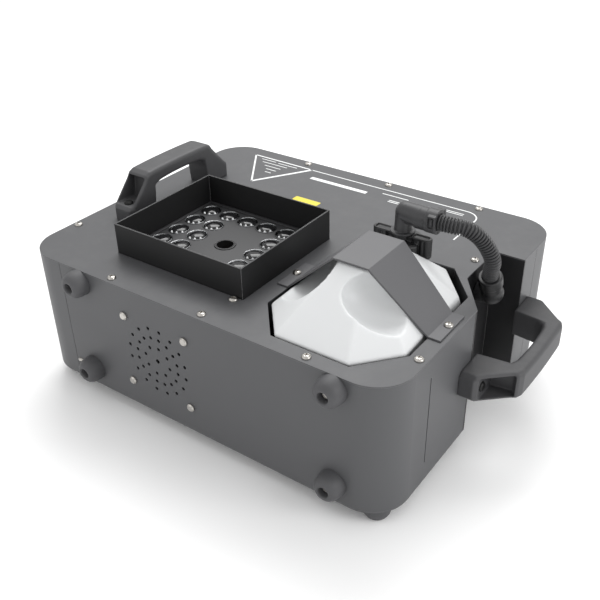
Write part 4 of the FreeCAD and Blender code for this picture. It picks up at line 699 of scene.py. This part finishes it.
for way in (-1, 1):
    add_block(grooves, cap_axis + Vector((way * 18.6, 0, cap_tall)) * MM, (14.4 * MM, 6.4 * MM, 3.2 * MM))
    add_block(grooves, cap_axis + Vector((way * WING_END, 0, WING_LOW + wing_tall / 2)) * MM,
              (1.8 * MM, 2 * MM, (wing_tall - 4) * MM))
    for side in (-1, 1):
        for along in (12.5, 18.8, 23.2):
            add_block(grooves, cap_axis + Vector((way * along, side * WING_THICK, WING_LOW + wing_tall / 2)) * MM,
                      (2.6 * MM, 2.2 * MM, (wing_tall - 3.4) * MM))
inside = bmesh.new()
add_rod(inside, 16.4 * MM, 15 * MM, cap_axis - Vector((0, 0, 1 * MM)), segments=64)
bore = bmesh.new()
add_rod(bore, 8.3 * MM, (cap_tall + 4) * MM, cap_axis)
cap_piece = moulded("TankCap", cap_shape, [grooves, inside, bore], 0.5 * MM, 2)
finish_piece(cap_piece, cap_plastic, "tank_cap", ["tank_cap"])

# %% [markdown]
# ## The elbows
# The elbow on the cap is a moulded fitting: a stem with a flange, a rounded bend, and an arm that
# grows into a collar. A window in the arm shows the catch that holds the hose.

# %% The elbow on the cap
elbow_low = low("cap_elbow").z
arm_start = Vector((cap_middle.x, cap_middle.y, arm_height))
ARM_REACH = 34.3 * MM
elbow_shape = bmesh.new()
stem_tall = arm_height - elbow_low
add_rod(elbow_shape, 8 * MM, stem_tall, Vector((*cap_middle.xy, elbow_low)), end_radius=7.2 * MM)
add_rod(elbow_shape, 12 * MM, 2.2 * MM, Vector((*cap_middle.xy, elbow_low)))
add_rod(elbow_shape, 11 * MM, 2 * MM, cap_axis + Vector((0, 0, cap_tall + 0.3)) * MM)
add_ball(elbow_shape, 9 * MM, arm_start + Vector((2, 0, 1.6)) * MM)
add_rod(elbow_shape, 9 * MM, 15 * MM, arm_start + Vector((2, 0, 1.6)) * MM, (15, 0, -1.4), end_radius=10.2 * MM)
add_rod(elbow_shape, 10.2 * MM, 19 * MM, arm_start + Vector((14, 0, 0)) * MM, (1, 0, 0))
add_rod(elbow_shape, ARM_RADIUS - 0.1 * MM, 10 * MM, arm_start + Vector((ARM_REACH - 10 * MM, 0, 0)), (1, 0, 0))
for way in (-1, 1):
    add_block(elbow_shape, arm_start + Vector((31, way * 9, 2)) * MM, (7.4 * MM, 3.2 * MM, 12.6 * MM))
window = bmesh.new()
for way in (-1, 1):
    add_block(window, arm_start + Vector((30.5, way * 10.4, 2)) * MM, (4.8 * MM, 3.8 * MM, 9.6 * MM))
    add_ball(window, 1 * MM, arm_start + Vector((23, way * 10.3, 2)) * MM)
mouth_hollow = bmesh.new()
add_rod(mouth_hollow, CREST * MM + 0.15 * MM, 13 * MM, arm_start + Vector((ARM_REACH - 12 * MM, 0, 0)), (1, 0, 0))
elbow = moulded("CapElbow", elbow_shape, [window, mouth_hollow], 0.45 * MM, 3)
finish_piece(elbow, black_plastic, "case", ["cap_elbow"])

# %% [markdown]
# The catch itself is a small springy tab behind the window, with a rounded nose.

# %% The catches behind the windows
catch_shape = bmesh.new()
for way in (-1, 1):
    add_block(catch_shape, arm_start + Vector((30.5, way * 8.9, 2)) * MM, (3 * MM, 1.2 * MM, 7 * MM))
bmesh.ops.bevel(catch_shape, geom=catch_shape.edges[:], offset=0.35 * MM, offset_type="OFFSET", segments=2,
                profile=0.5, affect="EDGES", material=-1)
catches = new_object("ElbowCatches", outwards(catch_shape))
smooth_by_angle(catches)
finish_piece(catches, black_plastic)

# %% [markdown]
# The second elbow is screwed through the notch's liner. Its barrel leans forward to meet the hose,
# with a rounded rim at its mouth and a knuckle where it bends towards the liner.

# %% The elbow in the notch
wall_low = low("wall_elbow")
WALL_RADIUS = 10.9
lean = Vector((0, -9, 23)).normalized()
BARREL = 24.6
bend = at(385, 205, 104)
mouth = bend + lean * BARREL * MM
wall_shape = bmesh.new()
add_turned(wall_shape, [(0, 0), (9.6, 0), (9.4, 13.5), (WALL_RADIUS, 15), (WALL_RADIUS, 23.4), (10.2, BARREL),
                        (0, BARREL)], bend, lean)
add_ball(wall_shape, WALL_RADIUS * MM, bend + lean * 2.2 * MM)
inward = bend.x - wall_low.x
add_rod(wall_shape, 7.7 * MM, inward, bend, (-1, 0, 0))
to_liner = bend.x - at(400 - 29.5, 0, 0).x
add_rod(wall_shape, 8.8 * MM, 8 * MM, bend, (-1, 0, 0), end_radius=10.4 * MM)
add_rod(wall_shape, 10.4 * MM, to_liner - 8.2 * MM, bend - Vector((8 * MM, 0, 0)), (-1, 0, 0))
add_rod(wall_shape, 11.5 * MM, 4 * MM, bend - Vector((to_liner + 1.4 * MM, 0, 0)), (-1, 0, 0), segments=6)
socket = bmesh.new()
add_rod(socket, CREST * MM + 0.15 * MM, 13 * MM, mouth - lean * 12 * MM, lean)
wall_elbow = moulded("WallElbow", wall_shape, [socket], 0.45 * MM, 3)
finish_piece(wall_elbow, wall_plastic, "case", ["wall_elbow"])

# %% [markdown]
# ## The handles
# Both handles come from one mould: a slightly arched grip between two hollow legs, each leg open
# towards its end so that its screw can be reached. The outline is made thick, its long edges are
# bevelled round, and the pockets are cut out.

# %% The handles
HANDLE_SPAN = 74.3
HANDLE_DEEP = 26.8
BLOCK = 13.3


def arc(points_from, points_to, rise, count):
    """Points between two ends, bulging upwards by rise in the middle."""
    result = []
    for index in range(1, count):
        share = index / count
        result.append((points_from[0] + (points_to[0] - points_from[0]) * share,
                       points_from[1] + (points_to[1] - points_from[1]) * share + rise * 4 * share * (1 - share)))
    return result


def handle(name, place, turn, nodes):
    outside = ([(HANDLE_SPAN, 0), (HANDLE_SPAN, BLOCK), (51.5, 38), (48.5, 42.6), (43, 45)]
               + arc((43, 45), (-43, 45), 1, 10)
               + [(-43, 45), (-48.5, 42.6), (-51.5, 38), (-HANDLE_SPAN, BLOCK), (-HANDLE_SPAN, 0)])
    inside = [(-40.5, 0), (-38, 22), (-35.5, 28.5), (-29, 31)] + arc((-29, 31), (29, 31), 1.4, 6) + [
        (29, 31), (35.5, 28.5), (38, 22), (40.5, 0)]
    outline = [(x * MM, y * MM) for x, y in outside + inside]
    solid = bmesh.new()
    add_outline(solid, outline, HANDLE_DEEP * MM, (0, 0, 0), Matrix.Identity(4))
    outwards(solid)
    rims = [edge for edge in solid.edges
            if abs(edge.verts[0].co.z - edge.verts[1].co.z) < 1e-6
            and (edge.verts[0].co.y + edge.verts[1].co.y) / 2 > 20 * MM]
    bmesh.ops.bevel(solid, geom=rims, offset=4.2 * MM, offset_type="OFFSET", segments=4, profile=0.5,
                    affect="EDGES", material=-1)
    pockets = []
    for way in (-1, 1):
        pocket = bmesh.new()
        corners = [(82, 16.6), (44.5, 16.6), (42, 35.5), (44, 39.2), (50, 40.4), (82, 40.6)]
        add_outline(pocket, [(way * x * MM, y * MM) for x, y in corners], (HANDLE_DEEP - 5.6) * MM, (0, 0, 0),
                    Matrix.Identity(4))
        pockets.append(pocket)
        ends = bmesh.new()
        for side in (-1, 1):
            add_block(ends, (way * HANDLE_SPAN * MM, 0, side * HANDLE_DEEP / 2 * MM), (5.6 * MM, 60 * MM, 5.6 * MM),
                      Matrix.Rotation(math.radians(45), 4, "Y"))
        pockets.append(ends)
    made = moulded(name, solid, pockets, 0.75 * MM, 3)
    made.data.transform(Matrix.Translation(place) @ turn)
    return finish_piece(made, grip_plastic, "case", nodes)


def axes(across, up):
    """The rotation that takes +X to across and +Y to up."""
    across = Vector(across)
    up = Vector(up)
    out = across.cross(up)
    return Matrix((across, up, out)).transposed().to_4x4()


top_foot = Vector((*middle("top_handle").xy, low("top_handle").z))
end_foot = Vector((low("end_handle").x, *middle("end_handle").yz))
handle("TopHandle", top_foot, axes((0, 1, 0), (0, 0, 1)), ["top_handle"])
handle("EndHandle", end_foot, axes((0, 1, 0), (1, 0, 0)), ["end_handle"])

# %% [markdown]
# ## The feet
# A rubber foot is turned: a broad root, a rounded shoulder, and a deep recess for its screw. The
# same profile is spun four times under the case and four times on its front.

# %% The rubber feet
FOOT_PROFILE = [
    (2, 0), (12.7, 0), (12.7, 2.2), (12.4, 6.2), (11.6, 10), (10, 12.8), (8, 14.4), (6.2, 15), (5.2, 14.7),
    (4.7, 13.6), (4.6, 8), (2, 8),
]
FOOT_CENTRE = 12.7 * MM


def feet(name, places, axis, nodes):
    shape = bmesh.new()
    for place in places:
        add_turned(shape, FOOT_PROFILE + FOOT_PROFILE[:1], place, axis, steps=40)
    made = new_object(name, outwards(shape))
    smooth_by_angle(made, 50)
    return finish_piece(made, rubber, "case", nodes)


def four(a_low, a_high, b_low, b_high):
    return [(a, b) for a in (a_low + FOOT_CENTRE, a_high - FOOT_CENTRE) for b in (b_low + FOOT_CENTRE, b_high - FOOT_CENTRE)]


feet_low, feet_high = low("bottom_feet"), high("bottom_feet")
under = four(feet_low.x, feet_high.x, feet_low.y, feet_high.y)
feet("BottomFeet", [Vector((x, y, feet_high.z)) for x, y in under], (0, 0, -1), ["bottom_feet"])
feet_low, feet_high = low("front_feet"), high("front_feet")
facing_front = four(feet_low.x, feet_high.x, feet_low.z, feet_high.z)
feet("FrontFeet", [Vector((x, feet_high.y, z)) for x, z in facing_front], (0, -1, 0), ["front_feet"])

# %% [markdown]
# ## The lenses
# Each LED has a smoked lens that stands a little proud of the panel. A bright metal ring round it
# slopes inwards, so only its far side is seen, and three small white domes at its front are
# painted glints, highlights made as white things.

# %% The lenses, their rings and their painted glints
LENS_RADIUS = 10.2 * MM
COLUMNS, ROWS = 6, 5
lens_low, lens_high = low("led_lenses"), high("led_lenses")
panel_top = high("led_panel").z
step_x = (lens_high.x - lens_low.x - 2 * LENS_RADIUS) / (COLUMNS - 1)
step_y = (lens_high.y - lens_low.y - 2 * LENS_RADIUS) / (ROWS - 1)
lens_spots = [
    (lens_low.x + LENS_RADIUS + column * step_x, lens_low.y + LENS_RADIUS + row * step_y)
    for column in range(COLUMNS) for row in range(ROWS) if not (column in (2, 3) and row in (1, 2, 3))
]
LENS_PROFILE = [(0, -4), (8.2, -4), (8.6, -0.8), (8.2, 0.2), (6.8, 1.2), (4.6, 1.9), (2.2, 2.2), (0, 2.25)]
RING_PROFILE = [(8.7, -2.6), (9.7, 0.5), (10.15, 0.6), (10.15, 0.1), (9.2, -2.6)]
# Three small white domes on each lens's front are painted glints: highlights made as white things.
GLINT_DOT_PROFILE = [(0, -1), (1, -1), (1, 1.1), (0.6, 1.7), (0, 1.8)]
GLINT_DOT_ANGLES = (-98, -62, -26)
lens_shape = bmesh.new()
ring_shape = bmesh.new()
glint_dot_shape = bmesh.new()
for x, y in lens_spots:
    place = Vector((x, y, panel_top))
    add_turned(lens_shape, LENS_PROFILE, place, steps=32)
    add_turned(ring_shape, RING_PROFILE + RING_PROFILE[:1], place, steps=32)
    for angle in GLINT_DOT_ANGLES:
        aside = Vector((math.cos(math.radians(angle)), math.sin(math.radians(angle)), 0)) * 8.9 * MM
        add_turned(glint_dot_shape, GLINT_DOT_PROFILE, place + aside, steps=12)
lenses = new_object("LedLenses", outwards(lens_shape))
smooth_by_angle(lenses, 50)
finish_piece(lenses, smoked_lens, "case", ["led_lenses"])
lens_rings = new_object("LensRings", outwards(ring_shape))
smooth_by_angle(lens_rings, 50)
finish_piece(lens_rings, reflector)
glint_dots = new_object("LensPegs", outwards(glint_dot_shape))
smooth_by_angle(glint_dots, 50)
finish_piece(glint_dots, white_ink_and_glint)

# %% [markdown]
# The plate's screws are pan heads with a cross. One head is carved, and it is copied to each place
# where the CAD has a screw. The places are read from the CAD nodes: each loose piece of a node's
# mesh is one screw, and its highest point is the top of the head.

# %% The screws on the top
def screw_tops(name):
    """The top middle of each loose piece of a CAD node."""
    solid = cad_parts[name]
    solid = bpy.data.objects[solid] if isinstance(solid, str) else solid
    shape = bmesh.new()
    shape.from_mesh(solid.data)
    shape.transform(solid.matrix_world)
    bmesh.ops.remove_doubles(shape, verts=shape.verts, dist=1e-6)
    waiting = set(shape.verts)
    tops = []
    while waiting:
        piece = [waiting.pop()]
        for vertex in piece:
            for edge in vertex.link_edges:
                other = edge.other_vert(vertex)
                if other in waiting:
                    waiting.remove(other)
                    piece.append(other)
        across = [vertex.co.x for vertex in piece]
        along = [vertex.co.y for vertex in piece]
        tops.append(Vector(((min(across) + max(across)) / 2, (min(along) + max(along)) / 2,
                            max(vertex.co.z for vertex in piece))))
    shape.free()
    return tops


HEAD_PROFILE = [(0, -8.4), (1.8, -8.4), (1.8, -2.4), (3.95, -2.4), (3.95, -1.6), (3.3, -0.7), (2, -0.15), (0, 0)]
head = bmesh.new()
add_turned(head, HEAD_PROFILE, (0, 0, 0), steps=32)
cross = bmesh.new()
for turn in (20, 110):
    add_block(cross, (0, 0, 0), (4.2 * MM, 1.1 * MM, 2.6 * MM), Matrix.Rotation(math.radians(turn), 4, "Z"))
one_screw = carved("OneScrew", head, [cross])
screw_shape = bmesh.new()
for top in screw_tops("plate_screws") + screw_tops("strap_screws"):
    before = set(screw_shape.verts)
    screw_shape.from_mesh(one_screw.data)
    fresh = [vertex for vertex in screw_shape.verts if vertex not in before]
    bmesh.ops.translate(screw_shape, verts=fresh, vec=top)
bpy.data.objects.remove(one_screw)
screws = new_object("TopScrews", outwards(screw_shape))
smooth_by_angle(screws, 40)
finish_piece(screws, nickel, "case", ["plate_screws", "strap_screws"])

# %% [markdown]
# The LED panel has a folded rim just inside the hood's walls. Four thin bars with bevelled edges
# make it.

# %% The panel's rim
hood_low, hood_high = low("led_hood"), high("led_hood")
hood_middle = middle("led_panel")
panel_low, panel_high = low("led_panel"), high("led_panel")
rim_shape = bmesh.new()
RIM_WIDE = 3.6 * MM
RIM_TALL = 1.2 * MM
wide = panel_high.x - panel_low.x
deep = panel_high.y - panel_low.y
for way in (-1, 1):
    add_block(rim_shape, Vector((hood_middle.x + way * (wide - RIM_WIDE) / 2, hood_middle.y, panel_top + RIM_TALL / 2)),
              (RIM_WIDE, deep - 2 * RIM_WIDE, RIM_TALL))
    add_block(rim_shape, Vector((hood_middle.x, hood_middle.y + way * (deep - RIM_WIDE) / 2, panel_top + RIM_TALL / 2)),
              (wide, RIM_WIDE, RIM_TALL))
bmesh.ops.bevel(rim_shape, geom=rim_shape.edges[:], offset=0.3 * MM, offset_type="OFFSET", segments=2, profile=0.5,
                affect="EDGES", material=-1)
rim = new_object("PanelRim", outwards(rim_shape))
smooth_by_angle(rim)
finish_piece(rim, panel_coat)

# %% [markdown]
# ## The printed marks
# The top plate is printed in white: a long line with rounded corners, a triangle, and a few bars
# where a maker prints words. Here they are plain bars with nothing to read. Ink is a very thin
# layer, so each mark is a flat strip a twentieth of a millimetre thick.

# %% The printed marks on the top plate
INK = 0.06


def strip(shape, start, finish_point, width):
    """A flat straight mark between two places, in millimetres."""
    run = Vector((finish_point[0] - start[0], finish_point[1] - start[1], 0))
    turn = Matrix.Rotation(math.atan2(run.y, run.x), 4, "Z")
    place = at((start[0] + finish_point[0]) / 2, (start[1] + finish_point[1]) / 2, deck + INK / 2)
    add_block(shape, place, (run.length * MM, width * MM, INK * MM), turn)


ink_shape = bmesh.new()
TRIANGLE = [(44, 300), (85, 239), (124, 299)]
LINE_Y = 298.5
LINE_X = 329
TURN = 15
for first, second, width in zip(TRIANGLE, TRIANGLE[1:] + TRIANGLE[:1], (1.9, 3.2, 1.9)):
    strip(ink_shape, first, second, width)
strip(ink_shape, (121.5, LINE_Y), (LINE_X - TURN, LINE_Y), 1.5)
turning = [(LINE_X - TURN + TURN * math.sin(math.radians(angle)), LINE_Y - TURN + TURN * math.cos(math.radians(angle)))
           for angle in range(0, 91, 10)]
for first, second in zip(turning, turning[1:]):
    strip(ink_shape, first, second, 1.5)
strip(ink_shape, (LINE_X, LINE_Y - TURN), (LINE_X, 237), 1.5)
for x, y, long_side, width in ((67, 294.5, 20, 1.2), (94, 293.5, 26, 1.2), (80, 288, 34, 1.2), (82, 281, 22, 1.2),
                               (85, 274, 14, 1.2), (86, 267, 8, 1.2),
                               (170.5, 281, 71, 5.5), (236.5, 289, 31, 1.4), (243, 278.5, 16, 1.4), (243, 275.5, 16, 1.4),
                               (302, 290.5, 24, 1.2), (302, 287.5, 24, 1.2)):
    strip(ink_shape, (x - long_side / 2, y), (x + long_side / 2, y), width)
ink = new_object("PrintedMarks", outwards(ink_shape))
finish_piece(ink, white_ink_and_glint)

label_shape = bmesh.new()
strip(label_shape, (149, 230), (180, 230), 9)
upright = [edge for edge in label_shape.edges if abs(edge.verts[0].co.z - edge.verts[1].co.z) > INK * MM / 2]
bmesh.ops.bevel(label_shape, geom=upright, offset=1.6 * MM, offset_type="OFFSET", segments=4, profile=0.5,
                affect="EDGES", material=-1)
label = new_object("PlainLabel", outwards(label_shape))
finish_piece(label, yellow_label)

# %% [markdown]
# ## Floor and light
# A pale floor, a bright even surround and three soft lamps are enough. The big one hangs over the
# back left, so that the top is a little brighter than the front, and the smaller ones only shape
# the right side and the front.

# %% The floor and the lamps
floor_shape = bmesh.new()
bmesh.ops.create_grid(floor_shape, x_segments=1, y_segments=1, size=6)
floor = new_object("Floor", floor_shape)
floor_paint = bpy.data.materials.new("Pale floor")
floor_paint.use_nodes = True
floor_paint.node_tree.nodes["Principled BSDF"].inputs["Base Color"].default_value = (1, 1, 1, 1)
floor_paint.node_tree.nodes["Principled BSDF"].inputs["Roughness"].default_value = 0.9
floor.data.materials.append(floor_paint)

world = bpy.data.worlds.new("Studio")
bpy.context.scene.world = world
world.use_nodes = True
world.node_tree.nodes["Background"].inputs["Color"].default_value = (1, 1, 1, 1)
world.node_tree.nodes["Background"].inputs["Strength"].default_value = 0.85


def lamp(name, place, target, size, power):
    light = bpy.data.lights.new(name, "AREA")
    light.shape = "RECTANGLE"
    light.size, light.size_y = size
    light.energy = power
    made = bpy.data.objects.new(name, light)
    bpy.context.collection.objects.link(made)
    made.location = place
    made.rotation_euler = (Vector(target) - Vector(place)).to_track_quat("-Z", "Y").to_euler()
    return made


lamp("Overhead", (-0.5, 0.9, 1.6), (0, 0, 0.1), (1.4, 1.0), 22)
lamp("Right", (1.6, 0.1, 0.9), (0, 0, 0.1), (0.8, 1.2), 10)
lamp("Front", (-0.7, -1.6, 0.9), (0, 0, 0.1), (1.2, 0.8), 2)
bpy.context.scene.view_settings.view_transform = "Standard"
print("lamps:", len(bpy.data.lights))

# %% The end
print("the end")
